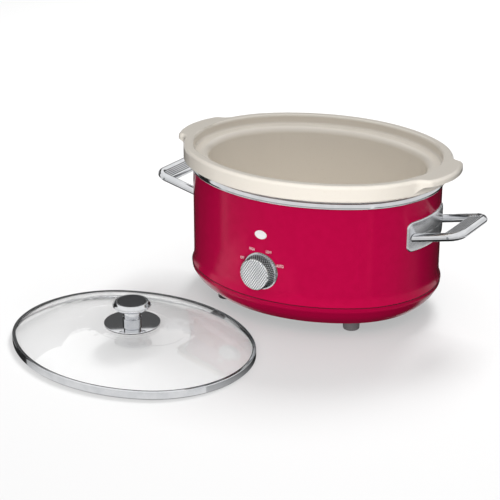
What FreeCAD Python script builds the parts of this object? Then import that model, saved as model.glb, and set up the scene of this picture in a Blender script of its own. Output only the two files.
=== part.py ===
import FreeCAD, Part
import math
import os

import Sketcher
from FreeCAD import Placement, Rotation, Vector

# An oval slow cooker with its glass lid lying on the table beside it.
# Millimetres and degrees. +Z is up, the front is -Y, z = 0 is the table.
# "Offset" is a distance outward from the body's wall; inward offsets are negative.

DRIVING_SIZES = [
    ("half_length", 147.0, "body wall: half its length along X"),
    ("half_depth", 120.0, "body wall: half its depth along Y"),
    ("end_radius", 107.0, "body wall: radius of the two end arcs"),
    ("cooker_x", 20.7, "place of the cooker's upright axis"),
    ("cooker_y", 106.6, "place of the cooker's upright axis"),
    ("lid_x", -77.3, "place of the lid's centre on the table"),
    ("lid_y", -119.0, "place of the lid's centre on the table"),
    ("lid_turn", 10.1, "turn of the lid, clockwise from above"),
    ("fit_gap", 0.1, "gap between fixed pieces that nest"),
    ("run_gap", 0.05, "radial gap of a shaft that turns"),
    ("rest_gap", 0.3, "gap under a piece that lifts off"),

    ("skirt_clear", 13.5, "height of the skirt's lower edge"),
    ("skirt_height", 25.1, "skirt's lower edge to the shell's seat"),
    ("skirt_proud", 0.2, "skirt stands this far outside the shell's foot"),
    ("skirt_shoulder", 5.6, "upright band of the skirt under the seam"),
    ("skirt_inset", 13.8, "skirt's lower edge lies this far inside the wall"),
    ("skirt_lip", 0.9, "width of the skirt's lower edge"),
    ("skirt_wall", 2.6, "thickness of the skirt"),
    ("bevel_inset", 4.0, "knee of the skirt's bevel inside the wall"),
    ("bevel_height", 9.0, "knee of the skirt's bevel above its lower edge"),
    ("bevel_round", 30.0, "radius of the bevel's knee"),
    ("seam_chamfer", 0.8, "chamfer that makes the seam under the shell"),
    ("spigot_height", 5.4, "collar of the skirt inside the shell"),
    ("plate_depth", 3.2, "bottom plate's seat above the skirt's lower edge"),
    ("plate_ledge", 4.1, "width of the bottom plate's seat"),
    ("ledge_thick", 2.0, "thickness of that seat"),
    ("boss_inset", 21.0, "screw bosses inside the wall"),
    ("boss_radius", 4.5, "screw bosses"),
    ("boss_height", 14.0, "screw bosses"),

    ("shell_wall", 1.0, "thickness of the shell"),
    ("shell_height", 118.8, "height of the shell"),
    ("flare_out", 2.0, "flare of the shell's foot"),
    ("flare_height", 13.0, "height of that flare"),
    ("trim_wall", 1.2, "thickness of the trim ring's web"),
    ("trim_lip", 5.4, "trim ring's drop over the shell"),
    ("trim_bead", 1.9, "trim ring stands this far outside the wall"),
    ("trim_round", 1.1, "rounding of the trim ring"),

    ("liner_gap", 8.0, "wall to liner, at the top"),
    ("web_gap", 0.5, "trim ring's web to the liner"),
    ("liner_wall", 1.0, "thickness of the liner"),
    ("liner_depth", 112.1, "inside depth of the liner"),
    ("liner_draft", 0.105, "inward lean of the liner per millimetre down"),
    ("liner_corner", 14.0, "radius of the liner's lower corner"),
    ("liner_flange", 6.5, "flange that hangs the liner on the trim ring"),
    ("floor_inset", 60.0, "edge of the flat floors inside the wall"),

    ("crock_gap", 2.0, "liner to crock"),
    ("crock_foot_gap", 2.5, "liner floor to crock foot"),
    ("crock_wall", 8.0, "thickness of the crock's wall"),
    ("crock_floor", 9.0, "thickness of the crock's floor"),
    ("crock_hollow", 1.5, "hollow under the crock's floor"),
    ("foot_ring", 22.0, "crock's foot ring, from its wall inward"),
    ("outer_corner", 13.0, "crock's lower outer corner"),
    ("inner_corner", 15.0, "crock's lower inner corner"),
    ("seat_width", 7.0, "crock's seat on the liner flange"),
    ("seat_step", 2.6, "seat to the flange's underside"),
    ("flange_out", 10.7, "flange stands this far outside the wall"),
    ("flange_height", 18.5, "height of the flange"),
    ("flange_round", 3.6, "rounding of the flange's upper edge"),
    ("flange_under", 2.4, "rounding of the flange's lower edge"),
    ("recess_inset", 1.0, "wall of the lid recess inside the body's wall"),
    ("recess_depth", 11.5, "depth of the lid recess"),
    ("recess_round", 3.0, "rounding in the lid recess"),
    ("mouth_round", 7.0, "rounding from the lid seat into the crock"),
    ("lug_reach", 14.5, "lug stands this far outside the flange"),
    ("lug_half", 42.0, "half width of a lug at its tip"),
    ("lug_bow", 85.0, "radius of a lug's outer edge"),
    ("lug_round", 9.0, "radius of a lug's corners"),
    ("lug_blend", 14.0, "radius of a lug's root"),
    ("lug_lift", 3.2, "root of a lug's underside above the flange's"),
    ("lug_tip", 7.0, "thickness of a lug at its tip"),
    ("lug_hollow", 9.0, "hollow of a lug's underside, from the flange outward"),
    ("lug_cove", 11.0, "radius of that hollow"),

    ("plate_wall", 1.2, "thickness of the bottom plate"),
    ("vent_width", 4.0, "vent slots"),
    ("vent_length", 26.0, "vent slots"),
    ("vent_pitch", 22.0, "vent slots"),
    ("vent_row", 30.0, "vent rows from the middle"),
    ("foot_end_inset", 64.0, "feet inside the end walls"),
    ("foot_side_inset", 58.0, "feet inside the front and rear walls"),
    ("foot_radius", 10.2, "feet at the plate"),
    ("foot_toe", 9.0, "feet at the table"),
    ("foot_round", 1.2, "feet's lower edge"),
    ("foot_well", 7.0, "depth of the screw's well in a foot"),
    ("well_radius", 4.2, "radius of that well"),
    ("screw_radius", 1.7, "small screws"),
    ("screw_head", 3.2, "small screws' heads"),
    ("screw_head_height", 1.5, "small screws' heads"),
    ("screw_bite", 4.0, "small screws go this far past what they hold"),
    ("tie_radius", 2.5, "tie bolt"),
    ("tie_head", 6.5, "tie bolt's head"),
    ("tie_head_height", 1.4, "tie bolt's head"),
    ("tie_nut_flats", 8.0, "tie nut across its flats"),
    ("tie_nut_height", 3.5, "tie nut"),

    ("band_bottom", 66.0, "heater band's lower edge above the table"),
    ("band_height", 38.0, "heater band"),
    ("band_thick", 1.6, "heater band"),
    ("band_split", 14.0, "gap between the heater band's ends"),
    ("ear_reach", 9.0, "heater band's clamp ears"),
    ("ear_height", 14.0, "heater band's clamp ears"),
    ("blanket_thick", 3.5, "insulation"),
    ("blanket_edge", 42.0, "insulation ends this far from the middle"),
    ("fuse_x", 45.0, "thermal fuse from the middle"),
    ("fuse_radius", 2.0, "thermal fuse"),
    ("fuse_length", 14.0, "thermal fuse"),
    ("lead_radius", 0.6, "thermal fuse's leads"),
    ("lead_length", 6.0, "thermal fuse's leads"),
    ("clip_wall", 0.8, "fuse clip"),
    ("clip_ear", 6.0, "fuse clip"),
    ("clip_width", 6.0, "fuse clip"),
    ("block_inset", 48.0, "middle of the terminal block inside the rear wall"),
    ("block_length", 34.0, "terminal block"),
    ("block_depth", 16.0, "terminal block"),
    ("block_height", 13.0, "terminal block"),
    ("wire_radius", 1.2, "wires"),
    ("wire_bend", 8.0, "wires"),
    ("gland_height", 68.0, "cord gland above the table"),
    ("gland_bore", 3.6, "cord gland"),
    ("gland_neck", 5.9, "cord gland"),
    ("gland_flange", 8.5, "cord gland's outer rim"),
    ("gland_face", 2.2, "cord gland outside the wall"),
    ("gland_snap", 1.4, "cord gland's inner rim beyond its neck"),
    ("gland_rim", 2.0, "cord gland's inner rim"),

    ("knob_height", 71.1, "control knob's axis above the table"),
    ("knob_radius", 19.8, "control knob at its back"),
    ("knob_face", 17.7, "control knob at its face"),
    ("knob_depth", 13.4, "control knob"),
    ("knob_round", 1.6, "control knob's front edge"),
    ("knob_wall", 2.6, "control knob"),
    ("knob_hub", 6.0, "control knob's hub"),
    ("face_border", 3.0, "flat border round the control knob's face"),
    ("knob_dish", 0.8, "hollow of the control knob's face"),
    ("flute_radius", 0.8, "flutes round the control knob"),
    ("bezel_radius", 21.1, "bezel behind the control knob"),
    ("bezel_bore", 15.4, "bezel behind the control knob"),
    ("bezel_thick", 1.3, "bezel behind the control knob"),
    ("shaft_radius", 3.0, "switch shaft"),
    ("bush_radius", 4.8, "switch bush"),
    ("bush_length", 3.5, "switch bush outside the wall"),
    ("collar_width", 1.6, "collar of the switch bush behind the shell"),
    ("switch_nut_flats", 13.0, "switch nut across its flats"),
    ("switch_nut_height", 2.0, "switch nut"),
    ("switch_side", 26.0, "switch housing"),
    ("switch_depth", 10.5, "switch housing"),
    ("switch_stand", 0.8, "switch housing behind the shell"),
    ("shaft_hold", 6.0, "switch shaft's length in the housing"),
    ("tab_length", 8.0, "switch tabs"),
    ("tab_pitch", 12.6, "switch tabs"),
    ("tab_width", 5.0, "switch tabs"),
    ("tab_thick", 0.8, "switch tabs"),
    ("lens_height", 113.3, "indicator lens above the table"),
    ("lens_half_width", 7.4, "indicator lens"),
    ("lens_half_height", 5.0, "indicator lens"),
    ("lens_end", 3.7, "indicator lens: radius of its end arcs"),
    ("lens_proud", 0.7, "indicator lens outside the wall"),
    ("lens_flange", 1.6, "indicator lens's flange"),
    ("lamp_radius", 3.0, "indicator lamp"),
    ("lamp_length", 6.4, "indicator lamp"),

    ("wall_plate_height", 112.2, "middle of a handle's wall plate above the table"),
    ("wall_plate_half", 43.2, "half width of a wall plate"),
    ("wall_plate_rise", 17.1, "half height of a wall plate"),
    ("wall_plate_corner", 6.0, "corners of a wall plate"),
    ("wall_plate_thick", 2.4, "wall plate"),
    ("wall_plate_edge", 0.9, "rounding of a wall plate's outer edge"),
    ("arm_height", 112.3, "handle arms above the table, at the wall"),
    ("arm_spread", 35.5, "handle arms from the middle"),
    ("rod_radius", 4.7, "handle rod"),
    ("handle_reach", 50.0, "bar of the handle from the wall, along the arms"),
    ("handle_tilt", 12.8, "arms rise by this angle"),
    ("handle_bend", 12.0, "bends of the handle rod"),
    ("grip_width", 20.0, "grip from the bar's middle inward"),
    ("grip_thick", 7.0, "grip"),
    ("grip_round", 2.6, "grip's inner edge"),
    ("groove_width", 1.7, "grooves of a grip"),
    ("groove_depth", 1.0, "grooves of a grip"),
    ("groove_pitch", 2.9, "grooves of a grip"),
    ("pin_inset", 12.0, "grip screws from the bar's middle"),
    ("pin_radius", 1.3, "grip screws"),

    ("lid_gap", 1.5, "lid's rim inside the recess"),
    ("rim_wall", 0.8, "lid's rim band"),
    ("rim_height", 8.2, "lid's rim band"),
    ("rim_lip", 3.0, "lid's rim band over the glass"),
    ("glass_thick", 4.0, "lid's glass"),
    ("dome_rise", 17.1, "rise of the glass"),
    ("dome_lean", 1.0, "underside of the dome starts this much further in"),
    ("dome_flat", 80.0, "edge of the glass's flat top inside the wall"),
    ("gasket_radius", 12.0, "gasket between glass and shield disc"),
    ("gasket_thick", 1.0, "gasket and seal washer"),
    ("shield_radius", 30.5, "shield disc under the lid's knob"),
    ("shield_thick", 1.6, "shield disc"),
    ("stem_radius", 9.4, "stem of the lid's knob"),
    ("stem_height", 14.5, "stem of the lid's knob"),
    ("stem_waist", 6.1, "groove round the stem above the shield disc"),
    ("stem_groove", 0.9, "groove round the stem"),
    ("cap_radius", 23.0, "cap of the lid's knob"),
    ("cap_waist", 14.0, "cap of the lid's knob, underneath"),
    ("cap_under", 5.2, "cap: underside to its widest"),
    ("cap_over", 4.6, "cap: widest to its top"),
    ("cap_round", 3.0, "cap at its widest"),
    ("cap_edge", 2.0, "cap's upper edge"),
    ("inlay_radius", 15.3, "inlay in the cap"),
    ("inlay_thick", 1.4, "inlay in the cap"),
    ("inlay_proud", 0.5, "inlay above the cap"),
    ("lid_screw_radius", 2.5, "lid screw"),
    ("lid_screw_head", 5.0, "lid screw's head"),
    ("lid_screw_head_height", 2.0, "lid screw's head"),
    ("lid_screw_bite", 10.0, "lid screw's length in the stem"),
]

GRIP_GROOVES = 5
KNOB_FLUTES = 36
VENTS_IN_ROW = 5
FARTHEST = 600.0  # longer than any cut needs to be


class Size:
    """A number that also carries the sheet expression it comes from."""

    def __init__(self, number, text):
        self.number = number
        self.text = text

    def __add__(self, other):
        other = as_size(other)
        return Size(self.number + other.number, f"({self.text} + {other.text})")

    def __sub__(self, other):
        other = as_size(other)
        return Size(self.number - other.number, f"({self.text} - {other.text})")

    def __mul__(self, other):
        other = as_size(other)
        return Size(self.number * other.number, f"({self.text} * {other.text})")

    def __truediv__(self, other):
        other = as_size(other)
        return Size(self.number / other.number, f"({self.text} / {other.text})")

    def __neg__(self):
        return Size(-self.number, f"(0 - {self.text})")

    def __radd__(self, other):
        return as_size(other) + self

    def __rsub__(self, other):
        return as_size(other) - self

    def __rmul__(self, other):
        return as_size(other) * self

    def root(self):
        return Size(math.sqrt(self.number), f"sqrt({self.text})")


def as_size(value):
    """A plain number as a Size."""
    if isinstance(value, Size):
        return value
    return Size(float(value), repr(float(value)))


class SizeSheet:
    """The driving sizes in a spreadsheet, read as attributes."""

    def __init__(self, document, rows):
        self.sheet = document.addObject("Spreadsheet::Sheet", "sizes")
        for row, (alias, number, meaning) in enumerate(rows, start=1):
            self.sheet.set(f"A{row}", meaning)
            self.sheet.set(f"B{row}", str(number))
            self.sheet.setAlias(f"B{row}", alias)
        document.recompute()

    def __getattr__(self, alias):
        return Size(float(self.sheet.get(alias)), f"sizes.{alias}")


class Corner:
    """A corner of an outline: rounded by a radius, or left by a bowed edge of a radius."""

    def __init__(self, x, y, rounding=None, bow=None, bow_left=True):
        self.x = as_size(x)
        self.y = as_size(y)
        self.rounding = None if rounding is None else as_size(rounding)
        self.bow = None if bow is None else as_size(bow)
        self.bow_left = bow_left

    def point(self):
        return Vector(self.x.number, self.y.number, 0)


document = FreeCAD.newDocument("slow_cooker")
s = SizeSheet(document, DRIVING_SIZES)
sub_parts = []


# Heights and offsets that several pieces share

shell_foot = s.skirt_clear + s.skirt_height
shell_top = shell_foot + s.shell_height
trim_top = shell_top + s.trim_wall
liner_top = trim_top + s.liner_wall
liner_floor = liner_top - s.liner_depth
liner_under = liner_floor - s.liner_wall
crock_seat = liner_top + s.rest_gap
crock_bottom = liner_floor + s.crock_foot_gap
crock_inside = crock_bottom + s.crock_floor
flange_bottom = crock_seat + s.seat_step
rim_top = flange_bottom + s.flange_height
lid_seat = rim_top - s.recess_depth
plate_top = s.skirt_clear + s.plate_depth
plate_under = plate_top - s.plate_wall
skirt_out = s.flare_out + s.skirt_proud
screw_hole = s.screw_radius + s.fit_gap
rim_offset = -(s.recess_inset + s.lid_gap)
block_y = s.half_depth - s.block_inset


def liner_offset(height):
    """Offset of the liner's outer face at a height."""
    return -s.liner_gap - s.liner_draft * (trim_top - height)


def crock_offset(height):
    """Offset of the crock's outer face at a height."""
    return liner_offset(height) - s.liner_wall - s.crock_gap


# Sketches and features

def new_body(label):
    """An empty body, standing on the cooker's upright axis."""
    body = document.addObject("PartDesign::Body", label)
    body.Label = label
    place(body, s.cooker_x, s.cooker_y, 0)
    sub_parts.append(body)
    return body


def place(piece, x, y, z, rotation=None):
    """Put a piece at a point, with a turn of its own."""
    piece.Placement = Placement(Vector(), rotation or Rotation())
    for axis, value in zip("xyz", (x, y, z)):
        piece.setExpression(f"Placement.Base.{axis}", as_size(value).text)


def on_front_wall(body, height):
    """Stand a piece on the front wall: its own Z points out of the wall."""
    place(body, s.cooker_x, s.cooker_y - s.half_depth, height, Rotation(Vector(1, 0, 0), 90))


def on_lid(body):
    """Put a piece on the lid's own centre and turn."""
    place(body, s.lid_x, s.lid_y, 0, Rotation(Vector(0, 0, -1), s.lid_turn.number))
    body.setExpression("Placement.Rotation.Angle", s.lid_turn.text)


def origin_plane(body, role):
    return next(feature for feature in body.Origin.OriginFeatures if feature.Role == role)


def new_sketch(body, name, role="XY_Plane", height=0):
    """A sketch on an origin plane of the body, raised along the plane's normal."""
    sketch = body.newObject("Sketcher::SketchObject", name)
    sketch.AttachmentSupport = [(origin_plane(body, role), "")]
    sketch.MapMode = "FlatFace"
    sketch.setExpression("AttachmentOffset.Base.z", as_size(height).text)
    return sketch


def tie(sketch, kind, *references, to):
    """A constraint whose value follows a size."""
    index = sketch.addConstraint(Sketcher.Constraint(kind, *references, to.number))
    sketch.setExpression(f"Constraints[{index}]", to.text)


def tie_point(sketch, geometry, position, x, y):
    tie(sketch, "DistanceX", -1, 1, geometry, position, to=x)
    tie(sketch, "DistanceY", -1, 1, geometry, position, to=y)


def arc_between(start, end, radius, left):
    """The short arc from start to end, bulging to the left or right of that way."""
    chord = end - start
    across = Vector(-chord.y, chord.x, 0).normalize()
    sag = math.sqrt(radius ** 2 - (chord.Length / 2) ** 2)
    centre = (start + end) * 0.5 + across * (-sag if left else sag)
    angles = [math.atan2(p.y - centre.y, p.x - centre.x) for p in (start, end)]
    if left:
        angles.reverse()
    return Part.ArcOfCircle(Part.Circle(centre, Vector(0, 0, 1), radius), *angles)


def rounding_points(before, corner, after, radius):
    """Where a rounding touches the two straight edges of a corner."""
    back = (before - corner).normalize()
    ahead = (after - corner).normalize()
    reach = radius / math.tan(back.getAngle(ahead) / 2)
    return corner + back * reach, corner + ahead * reach


def outline(sketch, corners, closed=True):
    """Draw edges through corners; every corner, rounding and bow follows its sizes."""
    count = len(corners)
    touches = []
    for index, corner in enumerate(corners):
        point = corner.point()
        if corner.rounding is None:
            touches.append((point, point))
            continue
        before = corners[index - 1].point()
        after = corners[(index + 1) % count].point()
        touches.append(rounding_points(before, point, after, corner.rounding.number))

    edges = []
    for index, corner in enumerate(corners if closed else corners[:-1]):
        start = touches[index][1]
        end = touches[(index + 1) % count][0]
        if corner.bow is None:
            edges.append((sketch.addGeometry(Part.LineSegment(start, end)), 1, 2))
            continue
        arc = sketch.addGeometry(arc_between(start, end, corner.bow.number, corner.bow_left))
        tie(sketch, "Radius", arc, to=corner.bow)
        edges.append((arc, 2, 1) if corner.bow_left else (arc, 1, 2))

    for index, corner in enumerate(corners):
        first = not closed and index == 0
        last = not closed and index == count - 1
        edge_out = edges[index] if not last else None
        edge_in = edges[index - 1] if not first else None
        if corner.rounding is not None:
            round_corner(sketch, corner, touches[index], edge_in, edge_out)
            continue
        if edge_in and edge_out:
            sketch.addConstraint(
                Sketcher.Constraint("Coincident", edge_in[0], edge_in[2], edge_out[0], edge_out[1])
            )
        geometry, position = edge_out[:2] if edge_out else (edge_in[0], edge_in[2])
        tie_point(sketch, geometry, position, corner.x, corner.y)


def round_corner(sketch, corner, touch, edge_in, edge_out):
    """A rounding between two straight edges that would meet at the corner."""
    point = sketch.addGeometry(Part.Point(corner.point()), True)
    tie_point(sketch, point, 1, corner.x, corner.y)
    turn = (touch[0] - corner.point()).cross(touch[1] - corner.point()).z
    arc = sketch.addGeometry(arc_between(*touch, corner.rounding.number, turn > 0))
    first, last = (2, 1) if turn > 0 else (1, 2)
    for rule in (
        ("PointOnObject", point, 1, edge_in[0]),
        ("PointOnObject", point, 1, edge_out[0]),
        ("Tangent", edge_in[0], edge_in[2], arc, first),
        ("Tangent", arc, last, edge_out[0], edge_out[1]),
    ):
        sketch.addConstraint(Sketcher.Constraint(*rule))
    tie(sketch, "Radius", arc, to=corner.rounding)


def oval(sketch, offset=0, half_length=s.half_length, half_depth=s.half_depth,
         end_radius=s.end_radius, middle_y=0):
    """A four-arc oval, grown by an offset; its arcs keep their centres."""
    offset = as_size(offset)
    middle_y = as_size(middle_y)
    end_centre = half_length - end_radius
    side_radius = (half_length * half_length + half_depth * half_depth
                   - 2 * half_length * end_radius) / (2 * (half_depth - end_radius))
    side_centre = side_radius - half_depth
    touch_x = end_centre * (side_radius + offset) / (side_radius - end_radius)
    touch_y = side_centre * (end_radius + offset) / (side_radius - end_radius)
    turn = math.atan2(side_centre.number, end_centre.number)
    centres = [(end_centre, 0), (0, -side_centre), (-end_centre, 0), (0, side_centre)]
    starts = [(touch_x, -touch_y), (touch_x, touch_y), (-touch_x, touch_y), (-touch_x, -touch_y)]
    angles = [-turn, turn, math.pi - turn, math.pi + turn, 2 * math.pi - turn]
    arcs = []
    for index, (x, y) in enumerate(centres):
        radius = (side_radius if index % 2 else end_radius) + offset
        centre = Vector(as_size(x).number, (middle_y + y).number, 0)
        circle = Part.Circle(centre, Vector(0, 0, 1), radius.number)
        arcs.append(sketch.addGeometry(Part.ArcOfCircle(circle, *angles[index:index + 2])))
    for index, arc in enumerate(arcs):
        following = arcs[(index + 1) % 4]
        sketch.addConstraint(Sketcher.Constraint("Coincident", arc, 2, following, 1))
        x, y = starts[index]
        tie_point(sketch, arc, 1, x, middle_y + y)
        if index % 2:
            tie(sketch, "DistanceY", -1, 1, arc, 3, to=middle_y + centres[index][1])
        else:
            tie(sketch, "DistanceX", -1, 1, arc, 3, to=centres[index][0])


def circle(sketch, x, y, radius):
    x, y, radius = as_size(x), as_size(y), as_size(radius)
    centre = Vector(x.number, y.number, 0)
    geometry = sketch.addGeometry(Part.Circle(centre, Vector(0, 0, 1), radius.number))
    tie_point(sketch, geometry, 3, x, y)
    tie(sketch, "Radius", geometry, to=radius)


def rectangle(sketch, left, right, bottom, top):
    outline(sketch, [Corner(left, bottom), Corner(right, bottom), Corner(right, top), Corner(left, top)])


def hexagon(sketch, flats):
    """A hexagon across flats, centred on the sketch."""
    side = flats / as_size(3).root()
    corners = [(side, 0), (side / 2, flats / 2), (-side / 2, flats / 2),
               (-side, 0), (-side / 2, -flats / 2), (side / 2, -flats / 2)]
    outline(sketch, [Corner(x, y) for x, y in corners])


def pad(body, sketch, length, name, side="One side", reverse=False):
    feature = body.newObject("PartDesign::Pad", name)
    feature.Profile = sketch
    feature.SideType = side
    feature.Reversed = reverse
    feature.setExpression("Length", as_size(length).text)
    return feature


def pocket(body, sketch, length, name, side="One side", reverse=False):
    feature = body.newObject("PartDesign::Pocket", name)
    feature.Profile = sketch
    feature.SideType = side
    feature.Reversed = reverse
    feature.setExpression("Length", as_size(length).text)
    return feature


def revolve(body, corners, name):
    """Turn an outline of (radius, height) corners round the body's own Z."""
    sketch = new_sketch(body, f"{name}_profile", "XZ_Plane")
    outline(sketch, corners)
    feature = body.newObject("PartDesign::Revolution", name)
    feature.Profile = sketch
    feature.ReferenceAxis = (sketch, ["V_Axis"])
    feature.Angle = 360
    return feature


def sweep_round_oval(body, corners, name):
    """Carry an outline of (offset, height) corners round the body's oval."""
    path = new_sketch(body, f"{name}_path")
    oval(path)
    profile = new_sketch(body, f"{name}_profile", "XZ_Plane")
    for corner in corners:
        corner.x = s.half_length + corner.x
    outline(profile, corners)
    feature = body.newObject("PartDesign::AdditivePipe", name)
    feature.Profile = profile
    feature.Spine = (path, [])
    return feature


def fillet(body, feature, radius, name, wanted):
    """Round the edges of a feature that a test picks by their middle and ends."""
    document.recompute()
    edges = [f"Edge{i}" for i, edge in enumerate(feature.Shape.Edges, start=1) if wanted(edge)]
    rounded = body.newObject("PartDesign::Fillet", name)
    rounded.Base = (feature, edges)
    rounded.setExpression("Radius", as_size(radius).text)
    return rounded


def copies(label, master, places):
    """One node of identical pieces: links to a master at each place."""
    sub_parts.remove(master)
    links = []
    for index, (x, y, z) in enumerate(places, start=1):
        link = document.addObject("App::Link", f"{label}_{index}")
        link.LinkedObject = master
        place(link, s.cooker_x + x, s.cooker_y + y, z)
        links.append(link)
    group = document.addObject("Part::Compound", label)
    group.Label = label
    group.Links = links
    sub_parts.append(group)
    return group


def screw(label, head_radius, head_height, shank_radius, shank_length):
    """A screw with its head below z = 0 and its shank above."""
    body = new_body(label)
    revolve(body, [
        Corner(0, -head_height),
        Corner(head_radius, -head_height, rounding=head_height / 2),
        Corner(head_radius, 0),
        Corner(shank_radius, 0),
        Corner(shank_radius, shank_length),
        Corner(0, shank_length),
    ], f"{label}_turned")
    return body


# Base: shell, trim, skirt and bottom

def outer_shell():
    body = new_body("outer_shell")
    bow = (s.flare_height * s.flare_height + s.flare_out * s.flare_out) / (2 * s.flare_out)
    flare_top = shell_foot + s.flare_height
    sweep_round_oval(body, [
        Corner(-s.shell_wall, shell_top),
        Corner(-s.shell_wall, flare_top, bow=bow, bow_left=False),
        Corner(s.flare_out - s.shell_wall, shell_foot),
        Corner(s.flare_out, shell_foot, bow=bow, bow_left=True),
        Corner(0, flare_top),
        Corner(0, shell_top),
    ], "shell_wrap")
    front = new_sketch(body, "front_holes", "XZ_Plane")
    circle(front, 0, s.knob_height, s.bush_radius + s.fit_gap)
    oval(front, s.fit_gap, s.lens_half_width, s.lens_half_height, s.lens_end, s.lens_height)
    pocket(body, front, FARTHEST, "front_cut", reverse=True)
    rear = new_sketch(body, "rear_hole", "XZ_Plane")
    circle(rear, 0, s.gland_height, s.gland_neck + s.fit_gap)
    pocket(body, rear, FARTHEST, "rear_cut")
    ends = new_sketch(body, "handle_holes", "YZ_Plane")
    for side in (-1, 1):
        circle(ends, side * s.arm_spread, s.arm_height, screw_hole)
    pocket(body, ends, FARTHEST, "handle_cut", side="Symmetric")


def trim_ring():
    body = new_body("trim_ring")
    inner = -s.liner_gap + s.web_gap
    lip = shell_top - s.trim_lip
    sweep_round_oval(body, [
        Corner(s.fit_gap, lip),
        Corner(s.trim_bead, lip, rounding=s.trim_round),
        Corner(s.trim_bead, trim_top, rounding=s.trim_round),
        Corner(inner, trim_top),
        Corner(inner, shell_top),
        Corner(s.fit_gap, shell_top),
    ], "trim_band")


def boss_places():
    length = s.half_length - s.boss_inset
    depth = s.half_depth - s.boss_inset
    return [(length, as_size(0)), (-length, as_size(0)), (as_size(0), depth), (as_size(0), -depth)]


def base_skirt():
    body = new_body("base_skirt")
    collar = -(s.shell_wall + s.fit_gap)
    mouth = -(s.skirt_inset + s.skirt_lip)
    ledge_top = plate_top + s.ledge_thick
    sweep_round_oval(body, [
        Corner(collar, shell_foot + s.spigot_height),
        Corner(collar - s.skirt_wall, shell_foot + s.spigot_height),
        Corner(collar - s.skirt_wall, shell_foot - s.skirt_shoulder),
        Corner(-(s.bevel_inset + s.skirt_wall), s.skirt_clear + s.bevel_height + s.skirt_wall),
        Corner(-(s.skirt_inset - s.skirt_wall), ledge_top),
        Corner(mouth - s.plate_ledge, ledge_top),
        Corner(mouth - s.plate_ledge, plate_top),
        Corner(mouth, plate_top),
        Corner(mouth, s.skirt_clear),
        Corner(-s.skirt_inset, s.skirt_clear),
        Corner(-s.bevel_inset, s.skirt_clear + s.bevel_height, rounding=s.bevel_round),
        Corner(skirt_out, shell_foot - s.skirt_shoulder, rounding=s.skirt_shoulder),
        Corner(skirt_out, shell_foot - s.seam_chamfer),
        Corner(skirt_out - s.seam_chamfer, shell_foot),
        Corner(collar, shell_foot),
    ], "skirt_band")
    bosses = new_sketch(body, "bosses", height=plate_top)
    holes = new_sketch(body, "boss_holes", height=plate_top)
    for x, y in boss_places():
        circle(bosses, x, y, s.boss_radius)
        circle(holes, x, y, screw_hole)
    pad(body, bosses, s.boss_height, "boss_posts")
    pocket(body, holes, s.boss_height, "boss_bores", reverse=True)


def bottom_plate():
    body = new_body("bottom_plate")
    blank = new_sketch(body, "plate_blank", height=plate_under)
    oval(blank, -(s.skirt_inset + s.skirt_lip + s.fit_gap))
    pad(body, blank, s.plate_wall, "plate_sheet")
    holes = new_sketch(body, "plate_holes", height=plate_under)
    for x, y in boss_places() + foot_places():
        circle(holes, x, y, screw_hole)
    circle(holes, 0, 0, s.tie_radius + s.fit_gap)
    pocket(body, holes, s.plate_wall, "plate_bores", reverse=True)
    for row in (-1, 1):
        for column in range(VENTS_IN_ROW):
            across = s.vent_pitch * (column - (VENTS_IN_ROW - 1) / 2)
            vent(body, f"vent_{'front' if row < 0 else 'rear'}_{column}", across, row * s.vent_row)


def vent(body, name, x, y):
    """Cut a slot along Y with rounded ends."""
    half_width = s.vent_width / 2
    half_length = s.vent_length / 2
    rounding = half_width - s.fit_gap
    slot = new_sketch(body, f"{name}_slot", height=plate_under)
    outline(slot, [
        Corner(x - half_width, y - half_length, rounding=rounding),
        Corner(x + half_width, y - half_length, rounding=rounding),
        Corner(x + half_width, y + half_length, rounding=rounding),
        Corner(x - half_width, y + half_length, rounding=rounding),
    ])
    pocket(body, slot, s.plate_wall, name, reverse=True)


def foot_places():
    length = s.half_length - s.foot_end_inset
    depth = s.half_depth - s.foot_side_inset
    return [(x * length, y * depth) for x in (-1, 1) for y in (-1, 1)]


def feet():
    foot = new_body("foot")
    revolve(foot, [
        Corner(screw_hole, s.foot_well),
        Corner(s.well_radius, s.foot_well),
        Corner(s.well_radius, 0),
        Corner(s.foot_toe, 0, rounding=s.foot_round),
        Corner(s.foot_radius, plate_under),
        Corner(screw_hole, plate_under),
    ], "foot_turned")
    copies("feet", foot, [(x, y, 0) for x, y in foot_places()])
    length = plate_top - s.foot_well + s.screw_bite
    master = screw("foot_screw", s.screw_head, s.screw_head_height, s.screw_radius, length)
    copies("foot_screws", master, [(x, y, s.foot_well) for x, y in foot_places()])


def plate_screws():
    length = s.plate_wall + s.boss_height - s.screw_bite
    master = screw("plate_screw", s.screw_head, s.screw_head_height, s.screw_radius, length)
    copies("plate_screws", master, [(x, y, plate_under) for x, y in boss_places()])


# Inside: liner, heater, fuse, terminals

def inner_liner():
    body = new_body("inner_liner")
    lip = -s.liner_gap + s.liner_flange
    inner_top = -(s.liner_gap + s.liner_wall)
    sweep_round_oval(body, [
        Corner(lip, liner_top),
        Corner(inner_top, liner_top),
        Corner(liner_offset(liner_under) - s.liner_wall, liner_floor, rounding=s.liner_corner),
        Corner(-s.floor_inset, liner_floor),
        Corner(-s.floor_inset, liner_under),
        Corner(liner_offset(liner_under), liner_under, rounding=s.liner_corner + s.liner_wall),
        Corner(-s.liner_gap, trim_top),
        Corner(lip, trim_top),
    ], "liner_wall")
    floor = new_sketch(body, "liner_floor", height=liner_under)
    oval(floor, -s.floor_inset)
    circle(floor, 0, 0, s.tie_radius + s.fit_gap)
    pad(body, floor, s.liner_wall, "liner_bottom")


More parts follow.
